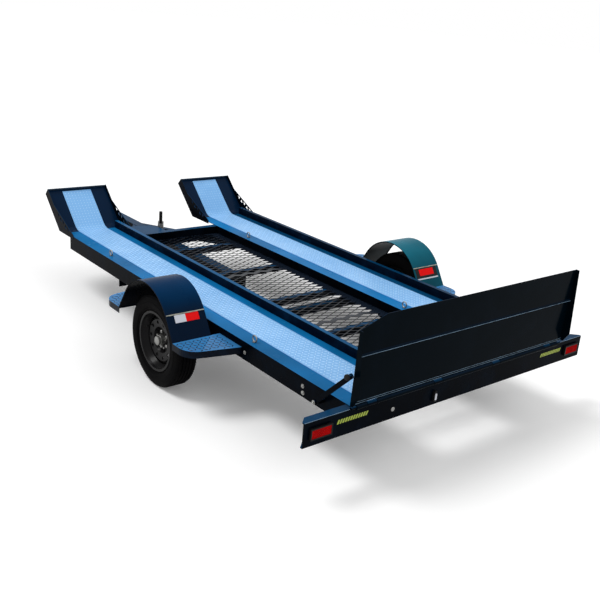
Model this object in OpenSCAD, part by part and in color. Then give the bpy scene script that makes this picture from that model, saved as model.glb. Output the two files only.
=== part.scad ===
// Two-track trailer for carrying a utility terrain vehicle.
// Lengths are millimetres. X points to the right-hand side, Y forward to the
// drawbar and Z up. The ground is at Z = 0. Positions along Y are counted from
// the rear face of the rear cross-beam until the whole trailer is centred.

/* [Deck] */
// Height of the wheel track floors above the ground
floor_z = 435; // [400:5:480]
// Overall width of the deck across both wheel tracks
deck_w = 1592; // [1560:4:1660]
// Distance from the rear beam's rear face to the foot of the wheel stops
deck_l = 3281; // [3160:1:3400]
// Thickness of the folded floor sheets
sheet_t = 3; // [2:0.5:4]

/* [Wheel tracks] */
// Width of one track floor from its open edge to its wall
track_w = 392; // [380:1:400]
// Height of the wall along the right-hand edge of each track
wall_h = 56; // [40:1:70]
// Width of the flange on top of that wall
flange_w = 29; // [20:1:36]
// Plain floor between the open edge and the checker strip
strip_offset = 96; // [80:1:110]
// Width of the checker plate strip
strip_w = 232; // [200:1:240]
// Thickness of the checker plate
plate_t = 3; // [2:0.5:4]
// Distance from the rear face to the rear end of the tracks
track_start = 8; // [4:1:20]

/* [Wheel stops] */
// Length of the stop plate along its slope
stop_len = 378; // [320:1:400]
// Length of each of the two short folds between the floor and the slope
fold_l = 30; // [15:1:40]
// Slope of the stop plate above the floor in degrees
stop_angle = 42.7; // [36:0.1:52]
// How far the stop reaches past the track's open edge
stop_over_open = 20; // [10:1:30]
// How far the stop reaches past the track's wall flange
stop_over_wall = 38; // [20:1:40]
// Height of the cheek plates above the stop plate
ear_h = 25; // [16:1:35]
// Depth of the cheek plates below the stop plate
cheek_depth = 44; // [30:1:55]
// Length of the gusset that braces the stop along the floor
gusset_l = 191; // [150:1:220]
// Share of the slope that the gusset supports
gusset_reach = 0.6; // [0.5:0.01:0.7]
// Height of the hem along the top edge of the stop
hem_h = 20; // [10:1:24]

/* [Frame] */
// Height of the side beams
beam_h = 105; // [90:1:115]
// Width of the side beams
beam_w = 50; // [40:1:60]
// Wall thickness of the beams
beam_t = 3; // [2.5:0.5:5]
// How far the side beams stop short of the wheel stops' foot
beam_short = 91; // [60:1:150]
// Height of the inner beams beside the mesh
inner_h = 60; // [50:1:70]
// Width of the inner beams
inner_w = 40; // [30:1:50]
// Width of the cross-members under the mesh
cross_w = 40; // [30:1:50]
// Number of cross-members
cross_count = 5; // [4:1:6]
// Distance from the rear face to the first cross-member's centre
cross_first = 300; // [250:5:350]
// Distance from the last cross-member's centre to the front cross-beam
cross_last = 290; // [250:5:330]
// Distance from the front cross-beam's rear side to the wheel stops' foot
front_beam_back = 291; // [250:1:330]

/* [Mesh floor] */
// Thickness of the expanded mesh
mesh_t = 3; // [2:0.5:4]
// Width of one mesh diamond across the deck
diamond_w = 110; // [90:1:150]
// Length of one mesh diamond along the deck
diamond_l = 50; // [40:1:80]
// Width of the strands between the diamonds
strand_w = 5; // [4:0.5:8]

/* [Rear beam] */
// Length of the rear beam across the trailer
bumper_l = 2188; // [2150:2:2196]
// Height of the rear beam
bumper_h = 130; // [110:1:140]
// Depth of the rear beam
bumper_d = 50; // [40:1:60]
// Length of the slanting cut at the rear beam's front corners
bumper_cut = 40; // [0:1:60]
// Width of one tail lamp
lamp_w = 124; // [110:1:150]
// Height of one tail lamp
lamp_h = 52; // [40:1:85]
// Depth of one tail lamp
lamp_d = 12; // [8:1:18]
// Distance from the beam's end to the lamp
lamp_inset = 40; // [30:1:70]

/* [Tailgate] */
// How far the tailgate reaches past each side of the deck
gate_over = 42; // [38:1:46]
// Height of the tailgate's top edge above its hinge
gate_h = 461; // [420:1:480]
// Height of the stiffening rib above the hinge
rib_h = 272; // [220:1:300]
// Depth of the stiffening rib
rib_d = 8; // [5:1:12]
// Lean of the tailgate to the rear in degrees
gate_lean = 2; // [0:0.5:4]
// Width of the slanting cut at the tailgate's top left corner
gate_cut_w = 165; // [0:1:200]
// Height of that cut
gate_cut_h = 55; // [0:1:80]
// Depth of the side cheeks at the bottom of the tailgate
gate_cheek_low = 50; // [40:1:55]
// Depth of the side cheeks at the top of the tailgate
gate_cheek_top = 20; // [15:1:30]
// Radius of the hinge tube
hinge_r = 13; // [12:0.5:14]
// Radius of the hinge rod
hinge_rod_r = 8; // [6:0.5:9]
// Distance of the hinge axis behind the rear beam
hinge_back = 20; // [18:1:24]
// Height of the hinge axis above the track floor
hinge_up = 12; // [10:1:16]
// Length of one fixed hinge knuckle
knuckle_l = 60; // [50:1:80]

/* [Stays] */
// Length of a stay bar between its ends
stay_len = 335; // [300:1:340]
// Slope of a stay bar above the floor in degrees
stay_angle = 45.4; // [42:0.1:50]
// Distance from the rear face to the stay's pivot
stay_pivot_y = 218; // [210:1:240]
// Depth of the stay's pivot below the track floor
stay_pivot_drop = 53; // [45:1:70]
// Width of a stay bar
stay_w = 26; // [20:1:30]
// Thickness of a stay bar
stay_t = 6; // [5:0.5:8]
// Radius of the stay's pivot pin
stay_pin_r = 6; // [5:0.5:8]

/* [Wheels] */
// Radius of the tyre
tyre_r = 280; // [270:1:290]
// Width of the tyre
tyre_w = 145; // [135:1:155]
// Radius of the rim where the tyre sits
rim_r = 168; // [160:1:175]
// Distance from the deck's side to the middle of the tyre
wheel_out = 191; // [184:1:198]
// Distance from the rear face to the axle
wheel_y = 1450; // [1440:1:1460]
// Size of the square axle tube
axle_w = 50; // [40:1:60]
// Radius of the stub axle
stub_r = 20; // [18:0.5:24]
// Running clearance between two turning parts
run_gap = 0.05; // [0.03:0.01:0.08]

/* [Mudguards] */
// Distance from the deck's side to the mudguard's inner edge
guard_gap = 60; // [54:1:66]
// Width of the mudguard
guard_w = 251; // [244:1:256]
// Outer radius of the mudguard's arch
guard_r = 286; // [280:1:296]
// Thickness of the mudguard
guard_t = 3; // [2:0.5:4]
// Height of the arch's centre below the track floor
guard_drop = 70; // [62:1:78]
// Depth of the side steps below the track floor
step_drop = 42; // [38:1:50]
// Length of the side step behind the wheel
rear_step_l = 225; // [200:1:240]
// Length of the side step in front of the wheel
front_step_l = 266; // [230:1:280]
// Depth of the skirt around a side step
skirt_h = 40; // [30:1:48]
// Corner radius of a side step
step_r = 105; // [80:1:110]

/* [Drawbar] */
// Size of the square drawbar tube
bar_w = 80; // [70:1:90]
// How far the drawbar reaches past the wheel stops' foot
bar_reach = 1279; // [1200:1:1400]
// Diameter of the towing ball that the coupler takes
ball_d = 50; // [50:1:50]
// Distance from the wheel stops' foot to the jockey wheel's leg
jockey_ahead = 97; // [90:1:120]
// Radius of the jockey wheel's outer tube
jockey_r = 24; // [20:1:30]
// Radius of the jockey wheel
jockey_wheel_r = 100; // [90:1:110]
// Length of the crank arm
crank_l = 100; // [80:1:110]

/* [Hidden] */

// Levels and edges that several pieces share
half_w = deck_w / 2;
pan_z = floor_z - sheet_t;
beam_z = pan_z - beam_h;
inner_z = pan_z - inner_h;
cross_h = inner_z - beam_z;
mesh_z = inner_z;
open_w = deck_w - 2 * (track_w + flange_w);
mesh_gap = 1;
track_x_left = -half_w;
track_x_right = half_w - track_w - flange_w;
front_beam_y = deck_l - front_beam_back;
beam_end = deck_l - beam_short;
cross_pitch = (front_beam_y - cross_first - cross_last) / (cross_count - 1);
gate_w = deck_w + 2 * gate_over;
wheel_x = half_w + wheel_out;
guard_in = half_w + guard_gap;
guard_out = guard_in + guard_w;
bar_end = deck_l + bar_reach;
jockey_y = deck_l + jockey_ahead;
bumper_z = pan_z - bumper_h;
gate_y = -hinge_back;
gate_z = floor_z + hinge_up;

// Whole length of the trailer, which centres it on the origin
coupler_reach = 70;
cheek_rise = 56;
gate_foot = hinge_r + 5;
rear_reach = hinge_back + gate_cheek_low * cos(gate_lean) + (gate_foot + cheek_rise) * sin(gate_lean);
front_reach = bar_end + coupler_reach;
mid_y = (front_reach - rear_reach) / 2;

black = [0.03, 0.04, 0.06];
navy = [0.03, 0.08, 0.16];
steel = [0.72, 0.78, 0.84];
rubber_black = [0.04, 0.04, 0.045];
lamp_red = [0.75, 0.03, 0.03];
zinc = [0.6, 0.6, 0.58];

module in_frame() { translate([0, -mid_y, 0]) children(); }

module mirrored() {
  children();
  mirror([1, 0, 0]) children();
}

// Extrudes an outline drawn in Y and Z along X, from x to x + w
module along_x(x, w) {
  translate([x, 0, 0]) rotate([90, 0, 90]) linear_extrude(w) children();
}

// Straight round bar along X
module bar_x(x, w, r) { translate([x, 0, 0]) rotate([0, 90, 0]) cylinder(h = w, r = r, $fn = 48); }

// Hollow rectangular tube along Y, open at both ends
module tube_y(x, y, z, w, l, h, t) {
  translate([x, y, z]) difference() {
    cube([w, l, h]);
    translate([t, -1, t]) cube([w - 2 * t, l + 2, h - 2 * t]);
  }
}

// Hollow rectangular tube along X, open at both ends
module tube_x(x, y, z, l, w, h, t) {
  translate([x, y, z]) difference() {
    cube([l, w, h]);
    translate([-1, t, t]) cube([l + 2, w - 2 * t, h - 2 * t]);
  }
}

// Side beams carry the outer edges of the tracks
module side_beam(x) { in_frame() tube_y(x, bumper_d, beam_z, beam_w, beam_end - bumper_d, beam_h, beam_t); }
module side_beam_left() { color(black) side_beam(-half_w); }
module side_beam_right() { color(black) side_beam(half_w - beam_w); }

// Inner beams stand on the cross-members beside the mesh
module inner_beams() {
  color(black) in_frame() mirrored()
    tube_y(open_w / 2, bumper_d, inner_z, inner_w, front_beam_y - bumper_d, inner_h, beam_t);
}

module cross_members() {
  span = deck_w - 2 * beam_w;
  color(black) in_frame() for (i = [0 : cross_count - 1])
    tube_x(-span / 2, cross_first + i * cross_pitch - cross_w / 2, beam_z, span, cross_w, cross_h, beam_t);
}

module front_cross_beam() {
  span = deck_w - 2 * beam_w;
  color(black) in_frame() tube_x(-span / 2, front_beam_y, beam_z, span, beam_w, beam_h, beam_t);
}

corner_flat = 14;
module rear_beam() {
  color(black) in_frame() difference() {
    tube_x(-bumper_l / 2, 0, bumper_z, bumper_l, bumper_d, bumper_h, beam_t);
    translate([0, 0, bumper_z - 1]) mirrored() linear_extrude(bumper_h + 2) polygon([
      [bumper_l / 2 - bumper_cut, bumper_d + 1], [bumper_l / 2 + 1, bumper_d + 1], [bumper_l / 2 + 1, corner_flat],
      [bumper_l / 2, corner_flat], [bumper_l / 2 - bumper_cut, bumper_d]
    ]);
  }
}

// Line that the sheet follows from the floor through two folds to the stop
fold_up = fold_l * (sin(stop_angle / 3) + sin(stop_angle * 2 / 3));
fold_run = fold_l * (cos(stop_angle / 3) + cos(stop_angle * 2 / 3)) - fold_up / tan(stop_angle);
fold_start = deck_l - fold_run;
function on_slope(along, above) = [
  deck_l + along * cos(stop_angle) - above * sin(stop_angle),
  floor_z + along * sin(stop_angle) + above * cos(stop_angle)
];
function fold_point(n, above) =
  let (y = n == 0 ? 0 : n == 1 ? cos(stop_angle / 3) : cos(stop_angle / 3) + cos(stop_angle * 2 / 3),
       z = n == 0 ? 0 : n == 1 ? sin(stop_angle / 3) : sin(stop_angle / 3) + sin(stop_angle * 2 / 3),
       turn = stop_angle * (2 * n + 1) / 6, reach = above / cos(stop_angle / 6))
  [fold_start + fold_l * y - reach * sin(turn), floor_z + fold_l * z + reach * cos(turn)];
function folds(above) = [for (n = [0 : 2]) fold_point(n, above)];
function folds_back(above) = [for (n = [2 : -1 : 0]) fold_point(n, above)];

// Folded track: floor, wall on the right-hand edge and its flange
module track(x) {
  color(navy) in_frame() translate([x, fold_start, 0]) rotate([90, 0, 0])
    linear_extrude(fold_start - track_start) union() {
      translate([0, pan_z]) square([track_w + sheet_t, sheet_t]);
      translate([track_w, pan_z]) square([sheet_t, wall_h + sheet_t]);
      translate([track_w, floor_z + wall_h - sheet_t]) square([flange_w, sheet_t]);
    }
}
module track_left() { track(track_x_left); }
module track_right() { track(track_x_right); }

// Checker plate that runs along the floor and up the stop, a hair above its folds
strip_play = 0.02;
module checker_strip(x) {
  strip_top = stop_len - hem_h;
  color(steel) in_frame() along_x(x + strip_offset, strip_w) polygon(concat(
    [[track_start, floor_z], [fold_start - fold_l, floor_z]], folds(strip_play),
    [on_slope(strip_top, strip_play), on_slope(strip_top, plate_t)],
    folds_back(plate_t), [[track_start, floor_z + plate_t]]
  ));
}
module checker_strip_left() { checker_strip(track_x_left); }
module checker_strip_right() { checker_strip(track_x_right); }

stop_w = track_w + flange_w + stop_over_open + stop_over_wall;
stop_in = stop_w - 2 * sheet_t;

// Inclined plate that meets the floor in two folds and ends in a hem
module wheel_stop(x) {
  color(navy) in_frame() along_x(x - stop_over_open + sheet_t, stop_in) polygon(concat(
    folds(0), [on_slope(stop_len - sheet_t, 0), on_slope(stop_len - sheet_t, hem_h), on_slope(stop_len, hem_h),
    on_slope(stop_len, -sheet_t)], folds_back(-sheet_t), [[fold_start, pan_z]]
  ));
}
module wheel_stop_left() { wheel_stop(track_x_left); }
module wheel_stop_right() { wheel_stop(track_x_right); }

// Cheek plate with the braced gusset and its row of triangular cut-outs
gusset_low = 22;
cut_count = 5;
cut_w = 34;
cut_pitch = 42;
module cheek_outline() {
  low = pan_z - sheet_t;
  rear_y = deck_l - gusset_l;
  tip = on_slope(stop_len * gusset_reach, ear_h);
  under = on_slope(0, -cheek_depth);
  under_top = on_slope(stop_len, -cheek_depth);
  toe = 20;
  first_cut = 74;
  cut_slant = cut_w * 0.8;
  toe_run = (low + toe - under[1]) / tan(stop_angle);
  rise = (tip[1] - floor_z - gusset_low) / (tip[0] - rear_y);
  rim = 9;
  difference() {
    polygon([
      [rear_y, low], [rear_y, floor_z + gusset_low], tip, on_slope(stop_len, ear_h),
      under_top, [under[0] + toe_run, low + toe], [under[0] + toe_run - toe, low]
    ]);
    for (i = [0 : cut_count - 1]) {
      y0 = rear_y + first_cut + i * cut_pitch;
      z0 = floor_z + gusset_low + (y0 - rear_y) * rise - rim;
      up = i % 2 == 0;
      polygon(up
        ? [[y0, z0], [y0 + cut_w, z0 + cut_w * rise], [y0 + cut_w / 2, z0 + cut_w * rise / 2 - cut_slant]]
        : [[y0 + cut_w / 2, z0 + cut_w * rise / 2], [y0 + cut_w, z0 + cut_w * rise - cut_slant],
           [y0, z0 - cut_slant]]);
    }
  }
}
module stop_cheeks() {
  color(black) in_frame() for (x = [track_x_left, track_x_right]) {
    along_x(x - stop_over_open, sheet_t) cheek_outline();
    along_x(x - stop_over_open + stop_w - sheet_t, sheet_t) cheek_outline();
  }
}

// Diamond mesh: a plate with staggered rows of diamond holes
mesh_w = open_w - 2 * mesh_gap;
module diamond() {
  w = diamond_w / 2 - strand_w * 1.1;
  l = diamond_l / 2 - strand_w * 0.6;
  polygon([[-w, 0], [0, -l], [w, 0], [0, l]]);
}
module mesh_panel(y0, y1) {
  rows = floor((y1 - y0 - strand_w) / (diamond_l / 2)) - 1;
  cols = floor((mesh_w - strand_w) / diamond_w);
  first_y = (y0 + y1) / 2 - (rows - 1) * diamond_l / 4;
  color(black) in_frame() translate([0, 0, mesh_z]) linear_extrude(mesh_t) difference() {
    translate([-mesh_w / 2, y0]) square([mesh_w, y1 - y0]);
    for (r = [0 : rows - 1]) {
      n = r % 2 == 0 ? cols : cols - 1;
      for (c = [0 : n - 1])
        translate([(c - (n - 1) / 2) * diamond_w, first_y + r * diamond_l / 2]) diamond();
    }
  }
}
mesh_split = (front_beam_y - bumper_d) / 3;
module mesh_rear() { mesh_panel(bumper_d, bumper_d + mesh_split); }
module mesh_middle() { mesh_panel(bumper_d + mesh_split, bumper_d + 2 * mesh_split); }
module mesh_front() { mesh_panel(bumper_d + 2 * mesh_split, front_beam_y); }

// Drawbar under the cross-members, with braces to the front cross-beam
bar_z = beam_z - bar_w;
bar_t = 4;
bar_start = cross_first + (cross_count - 2) * cross_pitch - cross_w / 2;
module drawbar() {
  color(black) in_frame() tube_y(-bar_w / 2, bar_start, bar_z, bar_w, bar_end - bar_start, bar_w, bar_t);
}

// Long braces run from the side beams to the drawbar
brace_h = 50;
brace_w = 50;
brace_back = 881;
brace_ahead = 359;
brace_start = deck_l - brace_back;
brace_front = deck_l + brace_ahead;
module drawbar_braces() {
  slant = atan2(half_w - beam_w / 2 - bar_w / 2, brace_front - brace_start);
  along = brace_w / sin(slant);
  across = brace_w / cos(slant);
  color(black) in_frame() translate([0, 0, beam_z - brace_h]) mirrored() linear_extrude(brace_h) polygon([
    [bar_w / 2, brace_front], [bar_w / 2, brace_front - along], [half_w - across, brace_start],
    [half_w, brace_start]
  ]);
}

// Pressed coupler: a body on the drawbar with a ball socket at its nose
ball_r = ball_d / 2;
socket_wall = 7;
coupler_l = 190;
coupler_w = 54;
coupler_h = 58;
nose_h = 74;
foot_l = 150;
foot_t = 8;
coupler_y = front_reach - ball_r - socket_wall;
bar_top = bar_z + bar_w;
ball_z = bar_top + 42;
module coupler() {
  body_start = coupler_y - coupler_l + 20;
  color(black) in_frame() difference() {
    union() {
      translate([-bar_w / 2, coupler_y - coupler_l, bar_top]) cube([bar_w, foot_l, foot_t]);
      translate([-coupler_w / 2, body_start, bar_top]) cube([coupler_w, coupler_y - body_start, coupler_h]);
      translate([0, coupler_y, bar_top]) cylinder(h = nose_h, r = ball_r + socket_wall, $fn = 64);
    }
    translate([0, coupler_y, ball_z]) sphere(r = ball_r + 0.5, $fn = 64);
    translate([0, coupler_y, bar_z - 1]) cylinder(h = ball_z - bar_z + 1, r = ball_r + 0.5, $fn = 64);
  }
}
// Release lever: a cranked flat that lies back over the coupler's body
lever_w = 18;
lever_l = 90;
lever_h = 34;
lever_t = 10;
lever_foot = 20;
module coupler_lever() {
  top = bar_top + coupler_h;
  front = coupler_y - 40;
  color(zinc) in_frame() along_x(-lever_w / 2, lever_w) polygon([
    [front, top], [front - lever_foot, top], [front - lever_foot - lever_l, top + lever_h],
    [front - lever_foot - lever_l, top + lever_h + lever_t], [front - lever_foot, top + 1.5 * lever_t],
    [front, top + lever_t]
  ]);
}

// Jockey wheel clamped to the right-hand side of the drawbar
jockey_x = bar_w / 2 + 35;
jockey_top = floor_z - 30;
jockey_low = 230;
leg_r = 20;
module jockey_clamp() {
  clamp_z = bar_z + 15;
  color(black) in_frame() difference() {
    union() {
      translate([bar_w / 2, jockey_y - 30, clamp_z]) cube([30, 60, 50]);
      translate([jockey_x, jockey_y, clamp_z]) cylinder(h = 50, r = jockey_r + 8, $fn = 64);
    }
    translate([jockey_x, jockey_y, clamp_z - 1]) cylinder(h = 52, r = jockey_r, $fn = 64);
  }
}
module jockey_tube() {
  color(zinc) in_frame() translate([jockey_x, jockey_y, jockey_low]) difference() {
    cylinder(h = jockey_top - jockey_low, r = jockey_r, $fn = 64);
    translate([0, 0, -1]) cylinder(h = jockey_top - jockey_low - 3, r = leg_r, $fn = 64);
  }
}
fork_in = 27;
module jockey_leg() {
  fork_top = 2 * jockey_wheel_r + 12;
  color(zinc) in_frame() translate([jockey_x, jockey_y, 0]) union() {
    translate([0, 0, fork_top]) cylinder(h = jockey_top - fork_top - 10, r = leg_r, $fn = 64);
    translate([-fork_in - 4, -22, fork_top - 5]) cube([2 * fork_in + 8, 44, 6]);
    mirrored() translate([fork_in, -18, jockey_wheel_r - 18]) cube([4, 36, fork_top - jockey_wheel_r + 18]);
    translate([0, 0, jockey_wheel_r]) bar_x(-fork_in - 8, 2 * fork_in + 16, 8);
  }
}
module jockey_wheel() {
  color(rubber_black) in_frame() translate([jockey_x, jockey_y, jockey_wheel_r]) rotate([0, 90, 0])
    rotate_extrude($fn = 72) polygon([
      [8, -25], [30, -25], [34, -14], [70, -14], [74, -22], [jockey_wheel_r - 12, -24],
      [jockey_wheel_r - 3, -17], [jockey_wheel_r, -6], [jockey_wheel_r, 6], [jockey_wheel_r - 3, 17],
      [jockey_wheel_r - 12, 24], [74, 22], [70, 14], [34, 14], [30, 25], [8, 25]
    ]);
}
crank_turn = 240;
grip_h = 95;
module jockey_crank() {
  shaft_r = 9;
  arm_z = 14;
  color(black) in_frame() translate([jockey_x, jockey_y, jockey_top]) rotate([0, 0, crank_turn]) union() {
    translate([0, 0, 0.2]) cylinder(h = arm_z, r = shaft_r, $fn = 48);
    translate([-12, -12, arm_z - 6]) cube([crank_l + 18, 24, 6]);
    translate([crank_l, 0, arm_z - 1]) cylinder(h = grip_h, r = 13, $fn = 48);
  }
}

// Square axle on two leaf springs
axle_z = tyre_r;
stub_in = 121;
axle_half = wheel_x - stub_in;
module axle() {
  color(black) in_frame() union() {
    translate([-axle_half, wheel_y - axle_w / 2, axle_z - axle_w / 2]) cube([2 * axle_half, axle_w, axle_w]);
    translate([0, wheel_y, axle_z]) mirrored() bar_x(axle_half - 1, stub_end - axle_half + 1, stub_r);
  }
}
stub_end = wheel_x + 18;

leaf_w = 44;
leaf_t = 7;
leaf_gap = 0.1;
leaf_half = 310;
leaf_sag = 44;
leaf_x = half_w - beam_w / 2;
leaf_r = (leaf_half * leaf_half + leaf_sag * leaf_sag) / (2 * leaf_sag);
leaf_top = axle_z - axle_w / 2;
eye_r = 15;
eye_pin_r = 7;
eye_z = leaf_top + leaf_sag + 2;
leaf_turn = asin(leaf_half / leaf_r) / 5.5;
// Leaves are flat in the middle, where the axle sits, and curve up from there
function leaf_arc(r, n) = [for (i = [0.5 - n : n - 0.5])
  [r * sin(i * leaf_turn), leaf_r * cos(leaf_turn / 2) - r * cos(i * leaf_turn)]];
module leaf(level, n) {
  translate([wheel_y, leaf_top - level * (leaf_t + leaf_gap)]) polygon(concat(
    leaf_arc(leaf_r, n), [for (i = [2 * n - 1 : -1 : 0]) leaf_arc(leaf_r + leaf_t, n)[i]]
  ));
}
module leaf_springs() {
  color(black) in_frame() mirrored() {
    difference() {
      union() {
        along_x(leaf_x - leaf_w / 2, leaf_w) leaf(0, 6);
        for (s = [-1, 1]) translate([leaf_x, wheel_y + s * (leaf_half + 6), eye_z])
          bar_x(-leaf_w / 2, leaf_w, eye_r);
      }
      for (s = [-1, 1]) translate([leaf_x, wheel_y + s * (leaf_half + 6), eye_z])
        bar_x(-leaf_w, 2 * leaf_w, eye_pin_r);
    }
    along_x(leaf_x - leaf_w / 2, leaf_w) leaf(1, 4);
    along_x(leaf_x - leaf_w / 2, leaf_w) leaf(2, 3);
  }
}
module spring_hangers() {
  ear = 6;
  color(black) in_frame() mirrored() for (s = [-1, 1]) {
    y = wheel_y + s * (leaf_half + 6);
    translate([leaf_x, y, 0]) union() {
      for (side = [-1, 1]) translate([side * (leaf_w / 2 + 1 + ear / 2) - ear / 2, -18, eye_z - 18])
        cube([ear, 36, beam_z - eye_z + 18]);
      translate([0, 0, eye_z]) bar_x(-leaf_w / 2 - 1 - ear, leaf_w + 2 + 2 * ear, eye_pin_r);
    }
  }
}

// Hub turning on the stub axle, with five wheel studs
stud_circle = 50;
hub_r = 32;
hub_out = 30;
flange_r = 70;
module hub() {
  in_frame() translate([wheel_x, wheel_y, axle_z]) difference() {
    union() {
      bar_x(-flange_r, flange_r + hub_out, hub_r);
      bar_x(-22, 10, flange_r);
      for (i = [0 : 4]) rotate([i * 72, 0, 0]) translate([0, 0, stud_circle]) bar_x(-22, 40, 6);
    }
    bar_x(-flange_r - 1, flange_r + hub_out - 5, stub_r + run_gap);
  }
}
module hub_right() { color(zinc) hub(); }
module hub_left() { color(zinc) mirror([1, 0, 0]) hub(); }

// Pressed steel rim: barrel, dished disc, vent holes and stud holes
rim_half = 62;
lip = 14;
well = 22;
dish_low = rim_r * 0.42;
dish_edge = rim_r * 0.5;
dish_top = rim_r * 0.76;
vent_circle = rim_r * 0.643;
vent_r = 11;
module rim() {
  in_frame() translate([wheel_x, wheel_y, axle_z]) difference() {
    rotate([0, 90, 0]) rotate_extrude($fn = 96) union() {
      polygon([
        [rim_r, -rim_half], [rim_r + lip, -rim_half], [rim_r + lip, -rim_half + 4], [rim_r + 3, -rim_half + 10],
        [rim_r + 3, rim_half - 10], [rim_r + lip, rim_half - 4], [rim_r + lip, rim_half], [rim_r, rim_half],
        [rim_r - 6, rim_half - lip], [rim_r - well, 20], [rim_r - well, -20], [rim_r - 6, -rim_half + lip]
      ]);
      polygon([
        [hub_r + 1, -12], [dish_low, -12], [dish_edge, 14], [dish_top, 18], [rim_r - well + 2, 4],
        [rim_r - well + 2, 10], [dish_top - 2, 25], [dish_edge - 4, 20], [dish_low - 4, -6], [hub_r + 1, -6]
      ]);
    }
    for (i = [0 : 4]) rotate([i * 72, 0, 0]) translate([0, 0, stud_circle]) bar_x(-30, 60, 7);
    for (i = [0 : 9]) rotate([i * 36 + 18, 0, 0]) translate([0, 0, vent_circle]) bar_x(-20, 80, vent_r);
  }
}
module rim_right() { color(black) rim(); }
module rim_left() { color(black) mirror([1, 0, 0]) rim(); }

// Tyre with rounded shoulders and four tread grooves
groove = 6;
module tyre() {
  h = tyre_w / 2;
  bead = rim_r + 3.3;
  bead_h = rim_half - 10.5;
  in_frame() translate([wheel_x, wheel_y, axle_z]) rotate([0, 90, 0]) rotate_extrude($fn = 120) difference() {
    polygon([
      [bead, -bead_h], [bead + 12, -bead_h], [bead + 18, -h + 10], [bead + 34, -h + 2], [bead + 55, -h],
      [tyre_r - 34, -h + 2], [tyre_r - 18, -h + 6], [tyre_r - 7, -h + 13], [tyre_r, -h + 24],
      [tyre_r, h - 24], [tyre_r - 7, h - 13], [tyre_r - 18, h - 6], [tyre_r - 34, h - 2],
      [bead + 55, h], [bead + 34, h - 2], [bead + 18, h - 10], [bead + 12, bead_h], [bead, bead_h]
    ]);
    for (x = [-33, -11, 11, 33]) translate([tyre_r - groove, x - 3]) square([groove + 5, 6]);
  }
}
module tyre_right() { color(rubber_black) tyre(); }
module tyre_left() { color(rubber_black) mirror([1, 0, 0]) tyre(); }

// Mudguard: an arch with a flat panel at each end that comes down to the steps
guard_y = wheel_y + 17;
guard_z = floor_z - guard_drop;
guard_seam = 34;
guard_reach = 320;
step_z = floor_z - step_drop;
module guard_outline() {
  seam = [for (r = [guard_r, guard_r - guard_t]) r * [cos(guard_seam), sin(guard_seam)]];
  foot_z = step_z - guard_z;
  translate([guard_y, guard_z]) {
    intersection() {
      difference() {
        circle(r = guard_r, $fn = 120);
        circle(r = guard_r - guard_t, $fn = 120);
      }
      polygon([[0, 0], 4 * seam[0], [0, 4 * guard_r], [-4 * seam[0][0], 4 * seam[0][1]]]);
    }
    for (s = [-1, 1]) polygon([
      [s * seam[0][0], seam[0][1]], [s * seam[1][0], seam[1][1]],
      [s * (guard_reach - guard_t), foot_z], [s * guard_reach, foot_z]
    ]);
  }
}
module mudguard_right() { color(navy) in_frame() along_x(guard_in, guard_out - guard_in) guard_outline(); }
module mudguard_left() {
  color(navy) in_frame() mirror([1, 0, 0]) along_x(guard_in, guard_out - guard_in) guard_outline();
}

// Outline of a side step, shrunk by inset along its curved outer edge
function step_outline(l, inset) = concat(
  [[half_w, inset]],
  [for (i = [0 : 8]) let (a = -80 + i * 10)
    [guard_out - step_r + (step_r - inset) * cos(a), 50 + step_r + (step_r - inset) * sin(a)]],
  [[guard_out - inset, l + (inset > 0 ? 1 : 0)], [half_w, l + (inset > 0 ? 1 : 0)]]
);
module side_step(l) {
  translate([0, 0, step_z - plate_t]) linear_extrude(plate_t) polygon(step_outline(l, 0));
  translate([0, 0, step_z - skirt_h]) linear_extrude(skirt_h - plate_t) difference() {
    polygon(step_outline(l, 0));
    polygon(step_outline(l, plate_t));
  }
}
rear_step_y = guard_y - guard_reach + guard_t - rear_step_l;
front_step_y = guard_y + guard_reach - guard_t;
module steps_rear() { color(steel) in_frame() mirrored() translate([0, rear_step_y, 0]) side_step(rear_step_l); }
module steps_front() {
  color(steel) in_frame() mirrored() translate([0, front_step_y + front_step_l, 0]) mirror([0, 1, 0])
    side_step(front_step_l);
}

// Square arms from the side beams that carry the steps and mudguards
arm_w = 30;
module outriggers() {
  arm_z = step_z - plate_t - arm_w;
  reach = guard_out - half_w - 20;
  color(black) in_frame() mirrored() {
    tube_x(half_w, rear_step_y + rear_step_l - 80, arm_z, reach, arm_w, arm_w, 2.5);
    tube_x(half_w, front_step_y + 50, arm_z, reach, arm_w, arm_w, 2.5);
  }
}

// Rounded step beside the drawbar, in front of the mesh
module drawbar_step() {
  y0 = front_beam_y + beam_w;
  x0 = track_x_left + track_w + flange_w + stop_over_wall + 2;
  l = 195;
  r = 150;
  w = 262;
  color(navy) in_frame() translate([x0, y0, pan_z - plate_t]) linear_extrude(plate_t) polygon(concat(
    [[0, 0], [w, 0]],
    [for (i = [0 : 8]) let (a = i * 11.25) [w - r + r * cos(a), l - r + r * sin(a)]],
    [[0, l]]
  ));
}

// Hinge tubes: fixed knuckles on the rear beam, moving ones on the tailgate
knuckle_in = 138;
knuckle_x = [for (i = [-1, -1 / 3, 1 / 3, 1]) i * (gate_w / 2 - knuckle_in)];
knuckle_gap = 3;
module tailgate_hinges() {
  tab_t = 6;
  color(black) in_frame() union() {
    for (x = knuckle_x) {
      translate([0, gate_y, gate_z]) bar_x(x - knuckle_l / 2, knuckle_l, hinge_r);
      translate([x - knuckle_l / 2, gate_y, pan_z]) cube([knuckle_l, hinge_back + track_start - 1, tab_t]);
    }
    translate([0, gate_y, gate_z]) bar_x(-gate_w / 2 + 8, gate_w - 16, hinge_rod_r);
  }
}

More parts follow.
